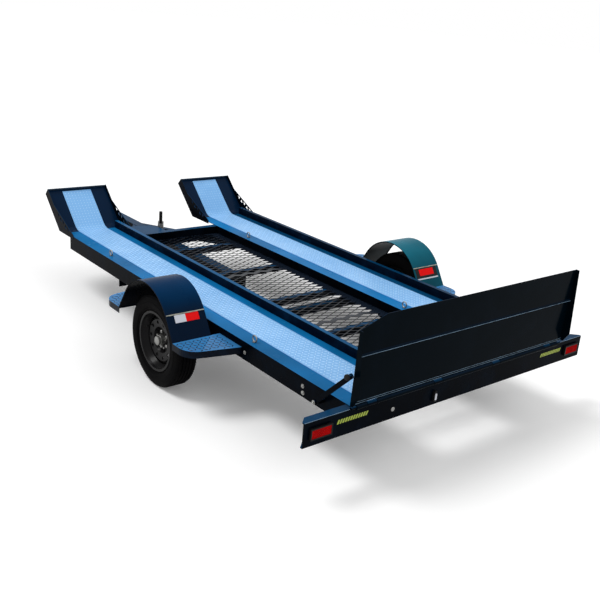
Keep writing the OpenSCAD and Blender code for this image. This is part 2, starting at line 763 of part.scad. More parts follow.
// Tailgate drawn upright about its hinge: sheet, rib, cheeks and hinge tube
tube_in = 40;
module gate_tube(x0, x1) {
  difference() {
    union() {
      bar_x(x0, x1 - x0, hinge_r);
      translate([x0, -sheet_t / 2, hinge_r - 3]) cube([x1 - x0, sheet_t, gate_foot - hinge_r + 5]);
    }
    bar_x(x0 - 1, x1 - x0 + 2, hinge_rod_r + run_gap);
  }
}
module tailgate() {
  side = knuckle_l / 2 + knuckle_gap;
  x_end = gate_w / 2;
  color(black) in_frame() translate([0, gate_y, gate_z]) rotate([gate_lean, 0, 0]) union() {
    difference() {
      along_x(-x_end, gate_w) polygon([
        [-sheet_t / 2, gate_foot], [sheet_t / 2, gate_foot], [sheet_t / 2, rib_h - rib_d],
        [sheet_t / 2 - rib_d, rib_h], [sheet_t / 2, rib_h + rib_d], [sheet_t / 2, gate_h],
        [-sheet_t / 2, gate_h], [-sheet_t / 2, rib_h + rib_d + 1.5], [-sheet_t / 2 - rib_d, rib_h],
        [-sheet_t / 2, rib_h - rib_d - 1.5]
      ]);
      rotate([90, 0, 0]) linear_extrude(10, center = true) polygon([
        [-x_end - 1, gate_h + 1], [-x_end - 1, gate_h - gate_cut_h], [-x_end, gate_h - gate_cut_h],
        [-x_end + gate_cut_w, gate_h], [-x_end + gate_cut_w, gate_h + 1]
      ]);
    }
    gate_cheek(-x_end, gate_h - gate_cut_h);
    gate_cheek(x_end - sheet_t, gate_h);
    gate_tube(-x_end + tube_in, knuckle_x[0] - side);
    for (i = [0 : 2]) gate_tube(knuckle_x[i] + side, knuckle_x[i + 1] - side);
    gate_tube(knuckle_x[3] + side, x_end - tube_in);
  }
}
module gate_cheek(x, top) {
  along_x(x, sheet_t) polygon([
    [0, gate_foot], [0, top], [-gate_cheek_top, top], [-gate_cheek_low, gate_foot + cheek_rise],
    [-gate_cheek_low / 3, gate_foot]
  ]);
}

// Stay bars beside the tailgate, each on a boss and pin of the side beam
stay_gap = 6;
stay_x = gate_w / 2 + stay_gap;
stay_z = floor_z - stay_pivot_drop;
boss_r = 16;
boss_gap = 1;
module stay_bracket() {
  translate([0, stay_pivot_y, stay_z]) union() {
    bar_x(half_w, stay_x - boss_gap - half_w, boss_r);
    bar_x(stay_x - boss_gap, stay_t + 3, stay_pin_r);
    bar_x(stay_x + stay_t + boss_gap, 6, stay_pin_r + 4);
  }
}
module stay_brackets() { color(black) in_frame() mirrored() stay_bracket(); }

module stay() {
  translate([0, stay_pivot_y, stay_z]) rotate([-stay_angle, 0, 0]) difference() {
    union() {
      along_x(stay_x, stay_t) union() {
        circle(r = stay_w / 2, $fn = 48);
        translate([-stay_len, -stay_w / 2]) square([stay_len, stay_w]);
        translate([-stay_len, 0]) circle(r = stay_w / 2, $fn = 48);
      }
      translate([0, -stay_len, 0]) bar_x(stay_x, stay_t + 16, 9);
    }
    bar_x(stay_x - 1, stay_t + 2, stay_pin_r + run_gap);
  }
}
module stay_right() { color(black) in_frame() stay(); }
module stay_left() { color(black) in_frame() mirror([1, 0, 0]) stay(); }

// Red lamp blocks near the ends of the rear beam
module tail_lamps() {
  lamp_z = bumper_z + (bumper_h - lamp_h) / 2;
  color(lamp_red) in_frame() mirrored()
    translate([bumper_l / 2 - lamp_inset - lamp_w, -lamp_d, lamp_z]) cube([lamp_w, lamp_d, lamp_h]);
}

// Lashing rings that stand on the floor between the open edge and the strip
ring_in = 41;
ring_r = 18;
ring_bar = 4;
ring_rear = 865;
ring_back = 681;
ring_front = deck_l - ring_back;
pad_w = 20;
pad_l = 16;
pad_t = 5;
module tie_rings() {
  color(zinc) in_frame() for (x = [track_x_left, track_x_right], y = [ring_rear, ring_front])
    translate([x + ring_in, y, floor_z]) union() {
      translate([-pad_w / 2, -pad_l / 2, 0]) cube([pad_w, pad_l, pad_t]);
      translate([0, 0, pad_t + ring_r]) rotate([90, 0, 90]) rotate_extrude($fn = 48)
        translate([ring_r, 0]) circle(r = ring_bar, $fn = 24);
    }
}

side_beam_left();
side_beam_right();
inner_beams();
cross_members();
front_cross_beam();
rear_beam();
track_left();
track_right();
checker_strip_left();
checker_strip_right();
wheel_stop_left();
wheel_stop_right();
stop_cheeks();
mesh_rear();
mesh_middle();
mesh_front();
drawbar();
drawbar_braces();
coupler();
coupler_lever();
jockey_clamp();
jockey_tube();
jockey_leg();
jockey_wheel();
jockey_crank();
axle();
leaf_springs();
spring_hangers();
hub_left();
hub_right();
rim_left();
rim_right();
tyre_left();
tyre_right();
mudguard_left();
mudguard_right();
outriggers();
steps_front();
steps_rear();
drawbar_step();
tailgate();
tailgate_hinges();
stay_brackets();
stay_left();
stay_right();
tail_lamps();
tie_rings();
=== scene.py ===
# %% [markdown]
# # A two-track trailer, dressed on top of its CAD frame
# The CAD model already has every piece at its real size and place. This notebook gives each piece its
# finish and adds what is too small for CAD: treads on the checker plate, bolts, lenses, tapes and welds.
# Everything is in metres: X to the trailer's right, Y forward to the drawbar, Z up from the ground.

# %% Load the frame
import bpy
import bmesh
from math import radians, pi, sin, cos, tan, hypot
from mathutils import Matrix, Vector


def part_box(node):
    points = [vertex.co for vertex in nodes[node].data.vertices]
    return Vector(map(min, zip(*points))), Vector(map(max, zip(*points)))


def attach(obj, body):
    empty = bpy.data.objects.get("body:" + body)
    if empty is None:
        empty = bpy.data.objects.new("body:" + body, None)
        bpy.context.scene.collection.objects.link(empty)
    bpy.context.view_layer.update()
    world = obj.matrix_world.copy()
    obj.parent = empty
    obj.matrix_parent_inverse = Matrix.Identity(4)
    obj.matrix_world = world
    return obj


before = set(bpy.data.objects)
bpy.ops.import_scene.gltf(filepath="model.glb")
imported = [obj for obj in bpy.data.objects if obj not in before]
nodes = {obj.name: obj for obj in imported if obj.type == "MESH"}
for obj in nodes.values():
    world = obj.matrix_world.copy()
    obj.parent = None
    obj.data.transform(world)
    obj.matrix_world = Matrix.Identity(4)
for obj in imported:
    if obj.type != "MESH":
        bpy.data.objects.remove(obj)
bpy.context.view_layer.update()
sides = ((-1, "left"), (1, "right"))


def centre(node):
    """The middle of a node's box at rest."""
    return [(low + high) / 2 for low, high in zip(*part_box(node))]


# %% [markdown]
# ## The photograph's camera
# A photograph fixes its camera: straight edges that meet in the picture give the lens and the direction.
# The deck's edges were solved that way, with the camera 1.8 m above the track floor. Writing the three
# camera axes as rows keeps the numbers readable, and the picture's centre becomes a small lens shift.

# %% Camera
sheet = 0.003
floor_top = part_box("track_left")[0][2] + sheet
rear_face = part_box("rear_beam")[0][1]
camera_height = 1.8
camera_left, camera_behind = 1.819 * camera_height, 1.393 * camera_height
right_axis = Vector((0.77165415, -0.63072232, 0.08209279))
down_axis = Vector((-0.15594963, -0.31274583, -0.93694704))
view_axis = Vector((0.61662759, 0.71019673, -0.33969253))
picture_w, picture_h, film_w = 600, 601, 36.0
focal_px, centre_x, centre_y = 826.2, 314.5, 299.2

camera_data = bpy.data.cameras.new("photo_camera")
camera_data.sensor_fit = "HORIZONTAL"
camera_data.sensor_width = film_w
camera_data.lens = focal_px / picture_w * film_w
camera_data.shift_x = (picture_w / 2 - centre_x) / picture_w
camera_data.shift_y = (centre_y - picture_h / 2) / picture_w
camera_data.clip_end = 200
camera = bpy.data.objects.new("photo_camera", camera_data)
bpy.context.scene.collection.objects.link(camera)
place = Matrix.Identity(4)
for row in range(3):
    place[row][:3] = right_axis[row], -down_axis[row], -view_axis[row]
place.translation = Vector((-camera_left, rear_face - camera_behind, floor_top + camera_height))
camera.matrix_world = place
bpy.context.scene.camera = camera
print("camera at", [round(v, 3) for v in place.translation], "lens", round(camera_data.lens, 2), "mm")

# %% [markdown]
# ## Shared shader groups
# Paint, rubber and bare metal all vary a little over their surface. One group makes that variation from
# two scales of noise, so every material has it at its own strength. A group may hand out colours, masks
# and heights, while the shader itself stays in each material.

# %% Helpers for node trees
def new_group(name, inputs, outputs):
    tree = bpy.data.node_groups.new(name, "ShaderNodeTree")
    for label, kind, value in inputs:
        tree.interface.new_socket(label, in_out="INPUT", socket_type=kind).default_value = value
    for label, kind in outputs:
        tree.interface.new_socket(label, in_out="OUTPUT", socket_type=kind)
    return tree, tree.nodes.new("NodeGroupInput").outputs, tree.nodes.new("NodeGroupOutput").inputs


def put(tree, kind, **values):
    """Add a node. Each value is a property of the node or, with _ for a space, one of its inputs."""
    node = tree.nodes.new(kind)
    for key, value in values.items():
        if hasattr(node, key):
            setattr(node, key, value)
        else:
            node.inputs[key.replace("_", " ")].default_value = value
    return node


def join(tree, *pairs):
    for a, b in pairs:
        tree.links.new(a, b)


print("helpers", [helper.__name__ for helper in (new_group, put, join)])


# %% Group for uneven surfaces
number, tint = "NodeSocketFloat", "NodeSocketColor"
uneven, given, result = new_group(
    "uneven_surface",
    [("Colour", tint, (0.5, 0.5, 0.5, 1)), ("Dust Colour", tint, (0.3, 0.28, 0.25, 1)),
     ("Dust", number, 0.2), ("Blotch Scale", number, 6.0), ("Grain Scale", number, 300.0),
     ("Rough Low", number, 0.2), ("Rough High", number, 0.4)],
    [("Colour", tint), ("Roughness", number), ("Height", number)])
spot = put(uneven, "ShaderNodeTexCoord")
blotch = put(uneven, "ShaderNodeTexNoise", Detail=5.0, Roughness=0.6)
grain = put(uneven, "ShaderNodeTexNoise", Detail=2.0)
dust_mask = put(uneven, "ShaderNodeMapRange", From_Min=0.45, From_Max=0.75)
dusty = put(uneven, "ShaderNodeMath", operation="MULTIPLY")
mix = put(uneven, "ShaderNodeMix", data_type="RGBA")
rough = put(uneven, "ShaderNodeMapRange", From_Min=0.3, From_Max=0.7)
join(uneven,
     (spot.outputs["Object"], blotch.inputs["Vector"]), (given["Blotch Scale"], blotch.inputs["Scale"]),
     (spot.outputs["Object"], grain.inputs["Vector"]), (given["Grain Scale"], grain.inputs["Scale"]),
     (blotch.outputs["Fac"], dust_mask.inputs["Value"]), (dust_mask.outputs["Result"], dusty.inputs[0]),
     (given["Dust"], dusty.inputs[1]), (dusty.outputs[0], mix.inputs["Factor"]),
     (given["Colour"], mix.inputs["A"]), (given["Dust Colour"], mix.inputs["B"]),
     (mix.outputs["Result"], result["Colour"]), (blotch.outputs["Fac"], rough.inputs["Value"]),
     (given["Rough Low"], rough.inputs["To Min"]), (given["Rough High"], rough.inputs["To Max"]),
     (rough.outputs["Result"], result["Roughness"]), (grain.outputs["Fac"], result["Height"]))
print("group", uneven.name, "with", len(uneven.nodes), "nodes")


# %% Materials that use the group
def start_material(name):
    material = bpy.data.materials.new(name)
    material.use_nodes = True
    tree = material.node_tree
    return material, tree, tree.nodes["Principled BSDF"]


def group_node(tree, group, **values):
    """Place a shader group. A value is a number, or a colour of three numbers."""
    node = put(tree, "ShaderNodeGroup", node_tree=group)
    for key, value in values.items():
        is_colour = isinstance(value, (tuple, list))
        node.inputs[key.replace("_", " ")].default_value = (*value, 1) if is_colour else value
    return node


def uneven_finish(tree, shader, colour, dust_and_sheen_colour, dust, roughness, grain_scale=300.0, bump=0.05,
                  blotch_scale=6.0):
    """The uneven group, wired to the shader's colour, roughness and normal."""
    group = group_node(tree, uneven, Colour=colour, Dust_Colour=dust_and_sheen_colour, Dust=dust,
                       Blotch_Scale=blotch_scale, Grain_Scale=grain_scale,
                       Rough_Low=roughness[0], Rough_High=roughness[1])
    bump_node = put(tree, "ShaderNodeBump", Strength=bump, Distance=0.001)
    join(tree, (group.outputs["Colour"], shader.inputs["Base Color"]),
         (group.outputs["Roughness"], shader.inputs["Roughness"]),
         (group.outputs["Height"], bump_node.inputs["Height"]),
         (bump_node.outputs["Normal"], shader.inputs["Normal"]))
    return group


print("inputs", given.keys())

# %% [markdown]
# ## Paint that answers to the sky
# The frame is black gloss paint, and its upward faces take the blue of the sky. Real reflections would
# need an outdoor world, so a second group paints that reflection: a blue colour blended into faces that
# look up, a painted sky reflection. It reads the surface's own normal, which doesn't depend on where the
# camera stands. Above High Level it takes other painted reflection colours, and beyond Far Edge the
# painted reflection is weak, a painted shade where the floor mirrors its own dark wall.

# %% Group for faces that look up
nowhere = 9.0
painted_sky_reflection, given, result = new_group(
    "painted_sky_reflection",
    [("Side Colour", tint, (0.01, 0.015, 0.03, 1)), ("Top Colour", tint, (0.03, 0.2, 0.45, 1)),
     ("High Colour", tint, (0.01, 0.03, 0.06, 1)), ("High Side Colour", tint, (0.01, 0.015, 0.03, 1)),
     ("High Level", number, nowhere), ("Amount", number, 1.0), ("Streak Scale", number, 2.0),
     ("Horizon", number, 0.35), ("Far Edge", number, nowhere)],
    [("Colour", tint)])
spot = put(painted_sky_reflection, "ShaderNodeTexCoord")
facing = put(painted_sky_reflection, "ShaderNodeSeparateXYZ")
up = put(painted_sky_reflection, "ShaderNodeMapRange", From_Max=1.0)
streak = put(painted_sky_reflection, "ShaderNodeTexNoise", Detail=3.0)
streak_range = put(painted_sky_reflection, "ShaderNodeMapRange", From_Min=0.3, From_Max=0.7, To_Min=0.55, To_Max=1.0)
streaked, scaled, shaded = [put(painted_sky_reflection, "ShaderNodeMath", operation="MULTIPLY") for _ in range(3)]
where = put(painted_sky_reflection, "ShaderNodeSeparateXYZ")
is_high, is_far = [put(painted_sky_reflection, "ShaderNodeMath", operation="GREATER_THAN") for _ in range(2)]
# Beyond Far Edge the painted reflection falls to 0.38 of its strength: a painted shade of the dark wall.
far_wall_shade = put(painted_sky_reflection, "ShaderNodeMapRange", To_Min=1.0, To_Max=0.38)
top_mix, side_mix, reflection_mix = [put(painted_sky_reflection, "ShaderNodeMix", data_type="RGBA") for _ in range(3)]
join(painted_sky_reflection,
     (spot.outputs["Normal"], facing.inputs[0]), (facing.outputs["Z"], up.inputs["Value"]),
     (given["Horizon"], up.inputs["From Min"]), (up.outputs["Result"], streaked.inputs[0]),
     (spot.outputs["Object"], streak.inputs["Vector"]), (given["Streak Scale"], streak.inputs["Scale"]),
     (streak.outputs["Fac"], streak_range.inputs["Value"]),
     (streak_range.outputs["Result"], streaked.inputs[1]), (streaked.outputs[0], scaled.inputs[0]),
     (given["Amount"], scaled.inputs[1]), (scaled.outputs[0], shaded.inputs[0]),
     (spot.outputs["Object"], where.inputs[0]),
     (where.outputs["X"], is_far.inputs[0]), (given["Far Edge"], is_far.inputs[1]),
     (is_far.outputs[0], far_wall_shade.inputs["Value"]), (far_wall_shade.outputs["Result"], shaded.inputs[1]),
     (where.outputs["Z"], is_high.inputs[0]), (given["High Level"], is_high.inputs[1]),
     (is_high.outputs[0], top_mix.inputs["Factor"]), (is_high.outputs[0], side_mix.inputs["Factor"]),
     (given["Top Colour"], top_mix.inputs["A"]), (given["High Colour"], top_mix.inputs["B"]),
     (given["Side Colour"], side_mix.inputs["A"]), (given["High Side Colour"], side_mix.inputs["B"]),
     (side_mix.outputs["Result"], reflection_mix.inputs["A"]), (top_mix.outputs["Result"], reflection_mix.inputs["B"]),
     (shaded.outputs[0], reflection_mix.inputs["Factor"]), (reflection_mix.outputs["Result"], result["Colour"]))
print("group", painted_sky_reflection.name, "with", len(painted_sky_reflection.nodes), "nodes")


# %% Paints
def sky_paint(name, side, top, amount=1.0, roughness=(0.16, 0.3), coat=0.0, dust=0.1, gloss=0.05,
              high=None, high_side=None, level=nowhere, horizon=0.35, far_edge=nowhere):
    material, tree, shader = start_material(name)
    # The dust colour is halfway between the black paint and its painted sky reflection, so the dust blotches
    # also carry painted sheen.
    dust_and_sheen_colour = [0.5 * (a + b) + 0.004 for a, b in zip(side, top)]
    dust_and_sheen_node = uneven_finish(tree, shader, side, dust_and_sheen_colour, dust, roughness)
    sky = group_node(tree, painted_sky_reflection, Side_Colour=side, Top_Colour=top, High_Colour=high or top,
                     High_Side_Colour=high_side or side, High_Level=level, Amount=amount,
                     Horizon=horizon, Far_Edge=far_edge)
    join(tree, (sky.outputs["Colour"], dust_and_sheen_node.inputs["Colour"]))
    shader.inputs["Specular IOR Level"].default_value = gloss
    shader.inputs["Coat Weight"].default_value = coat
    shader.inputs["Coat Roughness"].default_value = 0.08
    return material


# All of these are the one black paint. Their top, high and far colours are a painted sky reflection and
# painted shade, so each part that faces the sky differently gets its own lit copy of the paint.
frame_paint = sky_paint("frame_paint", (0.0006, 0.0014, 0.003), (0.004, 0.055, 0.14), amount=0.9,
                        dust=0.07, gloss=0.016)
mesh_paint = sky_paint("mesh_paint", (0.0015, 0.002, 0.003), (0.008, 0.014, 0.026), amount=0.9,
                       dust=0.15, gloss=0.08, coat=0.05)
# On the tracks the wall flanges take a darker painted reflection, and the floor beyond the right strip takes
# a painted shade of its wall.
sheet_paint = sky_paint("sheet_paint", (0.0008, 0.004, 0.012), (0.006, 0.185, 0.48), gloss=0.015,
                        high=(0.005, 0.105, 0.27), level=floor_top + 0.035,
                        far_edge=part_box("checker_strip_right")[1][0])
# Above the hem's level the stops take a painted grey reflection.
stop_paint = sky_paint("stop_paint", (0.001, 0.008, 0.024), (0.0008, 0.016, 0.052), dust=0.15,
                       high=(0.02, 0.05, 0.09), high_side=(0.045, 0.07, 0.10), level=floor_top + 0.2555)
step_paint = sky_paint("step_paint", (0.0010, 0.003, 0.008), (0.05, 0.26, 0.60), gloss=0.06)
gate_paint = sky_paint("gate_paint", (0.0003, 0.0024, 0.0045), (0.01, 0.03, 0.07), amount=0.6,
                       roughness=(0.12, 0.22), dust=0.06, gloss=0.016)
guard_paint = sky_paint("guard_paint", (0.0003, 0.0008, 0.0022), (0.0006, 0.030, 0.095),
                        roughness=(0.24, 0.36), dust=0.05, gloss=0.022)
# The far mudguard has the near one's paint. Its teal colours are a painted sky reflection, which reaches its
# sides too.
far_guard_reflection_paint = sky_paint("far_guard_reflection_paint", (0.0006, 0.008, 0.012), (0.008, 0.155, 0.225),
                            roughness=(0.26, 0.38), dust=0.15, gloss=0.03, horizon=-0.1)
print("paints with", painted_sky_reflection.name, painted_sky_reflection.users)

# %% [markdown]
# ## Metal, rubber, plastic
# The checker strips are bare aluminium, the small turned parts are zinc-plated, and the lamps are
# moulded plastic with a lens pattern. Each is one Principled shader fed by the same uneven group.

# %% Other finishes
def plain_finish(name, colour, dust_and_sheen_colour, dust, roughness, metallic=0.0, gloss=0.3, **surface):
    material, tree, shader = start_material(name)
    uneven_finish(tree, shader, colour, dust_and_sheen_colour, dust, roughness, **surface)
    shader.inputs["Specular IOR Level"].default_value = gloss
    shader.inputs["Metallic"].default_value = metallic
    return material


# The strips' blue is a painted reflection of the sky on the bare aluminium, and its blotches vary that
# reflection.
checker_aluminium = plain_finish("checker_aluminium", (0.22, 0.49, 0.86), (0.13, 0.35, 0.70), 0.5,
                                 (0.3, 0.5), metallic=0.1, blotch_scale=3.0)
zinc_steel = plain_finish("zinc_steel", (0.30, 0.30, 0.29), (0.12, 0.11, 0.09), 0.6, (0.3, 0.5), metallic=0.9)
tyre_rubber = plain_finish("tyre_rubber", (0.0018, 0.0018, 0.0022), (0.008, 0.007, 0.0065), 0.5,
                           (0.5, 0.75), gloss=0.022, grain_scale=500, bump=0.2)
rim_paint = plain_finish("rim_paint", (0.0025, 0.0025, 0.0032), (0.012, 0.010, 0.008), 0.4, (0.2, 0.4),
                         gloss=0.10)
grip_black = plain_finish("grip_black", (0.003, 0.003, 0.0035), (0.012, 0.012, 0.012), 0.3, (0.4, 0.6),
                          gloss=0.15, grain_scale=900, bump=0.3)
lamp_red = plain_finish("lamp_red", (0.30, 0.0010, 0.0015), (0.62, 0.002, 0.002), 0.6, (0.15, 0.25),
                        gloss=0.04, blotch_scale=30.0)
# Painted highlight: the strips' treads take the bright blue-white glare of the sky.
tread_sky_highlight = plain_finish("tread_sky_highlight", (0.48, 0.72, 0.98), (0.30, 0.54, 0.86), 0.4, (0.25, 0.45),
                            metallic=0.1)
tread_dark = plain_finish("tread_dark", (0.002, 0.008, 0.024), (0.02, 0.06, 0.14), 0.4, (0.25, 0.4),
                          gloss=0.15)
tape_white = plain_finish("tape_white", (0.62, 0.64, 0.70), (0.42, 0.44, 0.50), 0.4, (0.3, 0.45),
                          grain_scale=700, bump=0.2)
tape_red = plain_finish("tape_red", (0.86, 0.004, 0.005), (0.60, 0.004, 0.005), 0.4, (0.3, 0.45),
                        gloss=0.05, grain_scale=700, bump=0.2)
tape_lime = plain_finish("tape_lime", (0.34, 0.42, 0.05), (0.16, 0.22, 0.03), 0.7, (0.3, 0.5),
                         grain_scale=700, bump=0.2, blotch_scale=40.0)
worn_seam = plain_finish("worn_seam", (0.42, 0.41, 0.34), (0.08, 0.09, 0.08), 0.95, (0.4, 0.6),
                         blotch_scale=25.0)
# Painted highlight: thin bright lines on folds and edges.
painted_edge_highlight = plain_finish("painted_edge_highlight", (0.16, 0.26, 0.36), (0.02, 0.04, 0.07), 0.95, (0.3, 0.5),
                         blotch_scale=18.0)
print("materials with", uneven.name, uneven.users)

# %% [markdown]
# ## Finishes on the CAD pieces
# Almost everything on this trailer is welded steel under one black paint. The mudguards, tracks, stops and
# steps face the sky differently, so each has its own copy of that paint with its own painted sky reflection.
# A CAD node keeps its mesh, and only its material slots change.

# %% Give every CAD node its finish
def dress(material, *names):
    for name in names:
        if not nodes[name].material_slots:
            nodes[name].data.materials.append(material)
        for slot in nodes[name].material_slots:
            slot.material = material


dress(frame_paint, "side_beam_left", "side_beam_right", "inner_beams", "cross_members", "front_cross_beam",
      "rear_beam", "stop_cheeks", "drawbar_step", "drawbar", "drawbar_braces", "coupler", "jockey_clamp",
      "axle", "leaf_springs", "spring_hangers", "outriggers", "tailgate_hinges", "stay_brackets",
      "stay_left", "stay_right")
dress(mesh_paint, "mesh_rear", "mesh_middle", "mesh_front")
dress(sheet_paint, "track_left", "track_right")
dress(stop_paint, "wheel_stop_left", "wheel_stop_right")
dress(step_paint, "steps_front", "steps_rear")
dress(gate_paint, "tailgate")
dress(guard_paint, "mudguard_left")
dress(far_guard_reflection_paint, "mudguard_right")
dress(checker_aluminium, "checker_strip_left", "checker_strip_right")
dress(zinc_steel, "coupler_lever", "jockey_tube", "jockey_leg", "hub_left", "hub_right", "tie_rings")
dress(rim_paint, "rim_left", "rim_right")
dress(tyre_rubber, "tyre_left", "tyre_right", "jockey_wheel")
dress(grip_black, "jockey_crank")
dress(lamp_red, "tail_lamps")
print("dressed", len(nodes), "CAD nodes")

# %% [markdown]
# ## Small things that repeat
# Treads, bolts, nuts and ribs repeat hundreds of times. Each set starts as loose marks: vertices that
# carry a facing direction and a turn. One Geometry Nodes tree puts a small shape on every mark, so a
# row of bolts and a field of treads are made the same way. The result is turned into a plain mesh.

# %% Tree that puts a shape on every mark
def build_repeat_tree():
    tree = bpy.data.node_groups.new("repeat_on_marks", "GeometryNodeTree")
    kinds = {"Geometry": "Geometry", "Shape": "Object", "Size": "Float", "Finish": "Material"}
    for label, kind in kinds.items():
        tree.interface.new_socket(label, in_out="INPUT", socket_type="NodeSocket" + kind)
    tree.interface.new_socket("Geometry", in_out="OUTPUT", socket_type="NodeSocketGeometry")
    given = tree.nodes.new("NodeGroupInput").outputs
    end = tree.nodes.new("NodeGroupOutput")
    shape = put(tree, "GeometryNodeObjectInfo")
    place_on = put(tree, "GeometryNodeInstanceOnPoints")
    facing = put(tree, "GeometryNodeInputNamedAttribute", data_type="FLOAT_VECTOR", Name="facing")
    turn = put(tree, "GeometryNodeInputNamedAttribute", data_type="FLOAT", Name="turn")
    align = put(tree, "FunctionNodeAlignRotationToVector", axis="Z")
    spin = put(tree, "FunctionNodeAxisAngleToRotation", Axis=(0, 0, 1))
    both = put(tree, "FunctionNodeRotateRotation", rotation_space="LOCAL")
    real = put(tree, "GeometryNodeRealizeInstances")
    paint = put(tree, "GeometryNodeSetMaterial")
    join(tree, (given["Geometry"], place_on.inputs["Points"]), (given["Shape"], shape.inputs["Object"]),
         (shape.outputs["Geometry"], place_on.inputs["Instance"]),
         (facing.outputs["Attribute"], align.inputs["Vector"]),
         (turn.outputs["Attribute"], spin.inputs["Angle"]),
         (align.outputs["Rotation"], both.inputs["Rotation"]),
         (spin.outputs["Rotation"], both.inputs["Rotate By"]),
         (both.outputs["Rotation"], place_on.inputs["Rotation"]), (given["Size"], place_on.inputs["Scale"]),
         (place_on.outputs["Instances"], real.inputs["Geometry"]),
         (real.outputs["Geometry"], paint.inputs["Geometry"]),
         (given["Finish"], paint.inputs["Material"]), (paint.outputs["Geometry"], end.inputs["Geometry"]))
    return tree


repeat_tree = build_repeat_tree()
made = {}
print("tree", repeat_tree.name, "with", len(repeat_tree.nodes), "nodes")


# %% Pieces and repeated pieces
def add_piece(name, mesh, body, material=None, smooth=True):
    """Link a mesh as a piece that rides on a body."""
    obj = bpy.data.objects.new(name, mesh)
    bpy.context.scene.collection.objects.link(obj)
    if material:
        mesh.materials.append(material)
    if smooth:
        mesh.shade_smooth()
        mesh.set_sharp_from_angle(angle=radians(35))
    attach(obj, body)
    made[name] = len(mesh.polygons)
    return obj


def evaluated_mesh(obj, name):
    """The object's final mesh. The object itself is removed."""
    mesh = bpy.data.meshes.new_from_object(obj.evaluated_get(bpy.context.evaluated_depsgraph_get()))
    mesh.name = name
    bpy.data.objects.remove(obj)
    return mesh


def repeat(name, marks, shape_mesh, body, material, smooth=False):
    """Put a shape on every mark, which is a place, a facing direction and a turn."""
    base = bpy.data.meshes.new(name + "_marks")
    base.from_pydata([m[0] for m in marks], [], [])
    facing = base.attributes.new("facing", "FLOAT_VECTOR", "POINT")
    facing.data.foreach_set("vector", [c for m in marks for c in m[1]])
    base.attributes.new("turn", "FLOAT", "POINT").data.foreach_set("value", [m[2] for m in marks])
    holder = bpy.data.objects.new(name + "_marks", base)
    shape = bpy.data.objects.new(name + "_shape", shape_mesh)
    for obj in (holder, shape):
        bpy.context.scene.collection.objects.link(obj)
    modifier = holder.modifiers.new("repeat", "NODES")
    modifier.node_group = repeat_tree
    ids = {s.name: s.identifier for s in repeat_tree.interface.items_tree if s.in_out == "INPUT"}
    modifier[ids["Shape"]], modifier[ids["Size"]], modifier[ids["Finish"]] = shape, 1.0, material
    mesh = evaluated_mesh(holder, name)
    bpy.data.objects.remove(shape)
    for attribute in ("facing", "turn"):
        mesh.attributes.remove(mesh.attributes[attribute])
    return add_piece(name, mesh, body, smooth=smooth)


# %% [markdown]
# ## The small shapes themselves
# A bolt, a nut and a cap are turned parts, so one lathe function makes them all from a profile. A tread is
# a low lozenge with sloping sides. Both could be modelled by hand, but a profile is shorter and its faces
# are sure to point outwards.

# %% Small shapes
square = ((-1, -1), (1, -1), (1, 1), (-1, 1))
eight_corner_faces = [(3, 2, 1, 0), (4, 5, 6, 7), (0, 1, 5, 4), (1, 2, 6, 5), (2, 3, 7, 6), (3, 0, 4, 7)]


def new_mesh(name, verts, faces, outwards=False):
    mesh = bpy.data.meshes.new(name)
    mesh.from_pydata(verts, [], faces)
    if outwards:
        bm = bmesh.new()
        bm.from_mesh(mesh)
        bmesh.ops.recalc_face_normals(bm, faces=bm.faces)
        bm.to_mesh(mesh)
        bm.free()
    return mesh


def lathe(name, profile, count):
    """Turn a profile of (radius, height) about Z, in count steps."""
    verts, faces = [], []
    for radius, height in profile:
        verts += [(radius * cos(2 * pi * i / count), radius * sin(2 * pi * i / count), height)
                  for i in range(count)]
    for ring in range(len(profile) - 1):
        low, high = ring * count, (ring + 1) * count
        for i in range(count):
            j = (i + 1) % count
            faces.append((low + i, low + j, high + j, high + i))
    faces.append(tuple(reversed(range(count))))
    faces.append(tuple(range((len(profile) - 1) * count, len(profile) * count)))
    return new_mesh(name, verts, faces)


def lozenge(length, width, height, top_length=0.6, top_width=0.45):
    """A tread, narrower at the top. The top is given as a share of the foot."""
    low = [(-length / 2, 0, 0), (0, -width / 2, 0), (length / 2, 0, 0), (0, width / 2, 0)]
    top = [(x * top_length, y * top_width, height) for x, y, _ in low]
    return new_mesh("lozenge", low + top, eight_corner_faces)


def joined(name, *meshes):
    bm = bmesh.new()
    for part in meshes:
        bm.from_mesh(part)
    mesh = bpy.data.meshes.new(name)
    bm.to_mesh(mesh)
    bm.free()
    return mesh


def hex_bolt(across=0.013, head=0.0055, washer=0.012):
    """A hexagon head on its washer. across is the width over the flats."""
    washer_t, corner = 0.0012, across / 2 * 1.155
    return joined(
        "hex_bolt", lathe("washer", [(washer, 0), (washer, washer_t), (washer - 0.0012, 0.0016)], 20),
        lathe("head", [(corner, washer_t), (corner, head), (across / 2, head + 0.001)], 6))


frame_bolt = hex_bolt()
print("a bolt has", len(frame_bolt.polygons), "faces")

# %% [markdown]
# ## Treads of the checker plate
# Checker plate is rolled with lozenges that point two ways by turns. On the strips the treads carry a
# painted highlight, a bright blue-white glare of the sky, while the painted steps keep them dark. The marks
# follow the strip along the floor, through the two folds and up the stop, so one list of stations serves both
# strips.

# %% Treads on the strips
strip_t, sunk = 0.003, 0.0001
slope, fold_l, deck_l = radians(42.7), 0.030, 3.281
fold_up = fold_l * (sin(slope / 3) + sin(2 * slope / 3))
fold_y = rear_face + deck_l - (fold_l * (cos(slope / 3) + cos(2 * slope / 3)) - fold_up / tan(slope))
strip_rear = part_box("checker_strip_left")[0][1]
strip_parts = ((fold_y - strip_rear, 0.0), (fold_l, slope / 3), (fold_l, 2 * slope / 3), (1.0, slope))


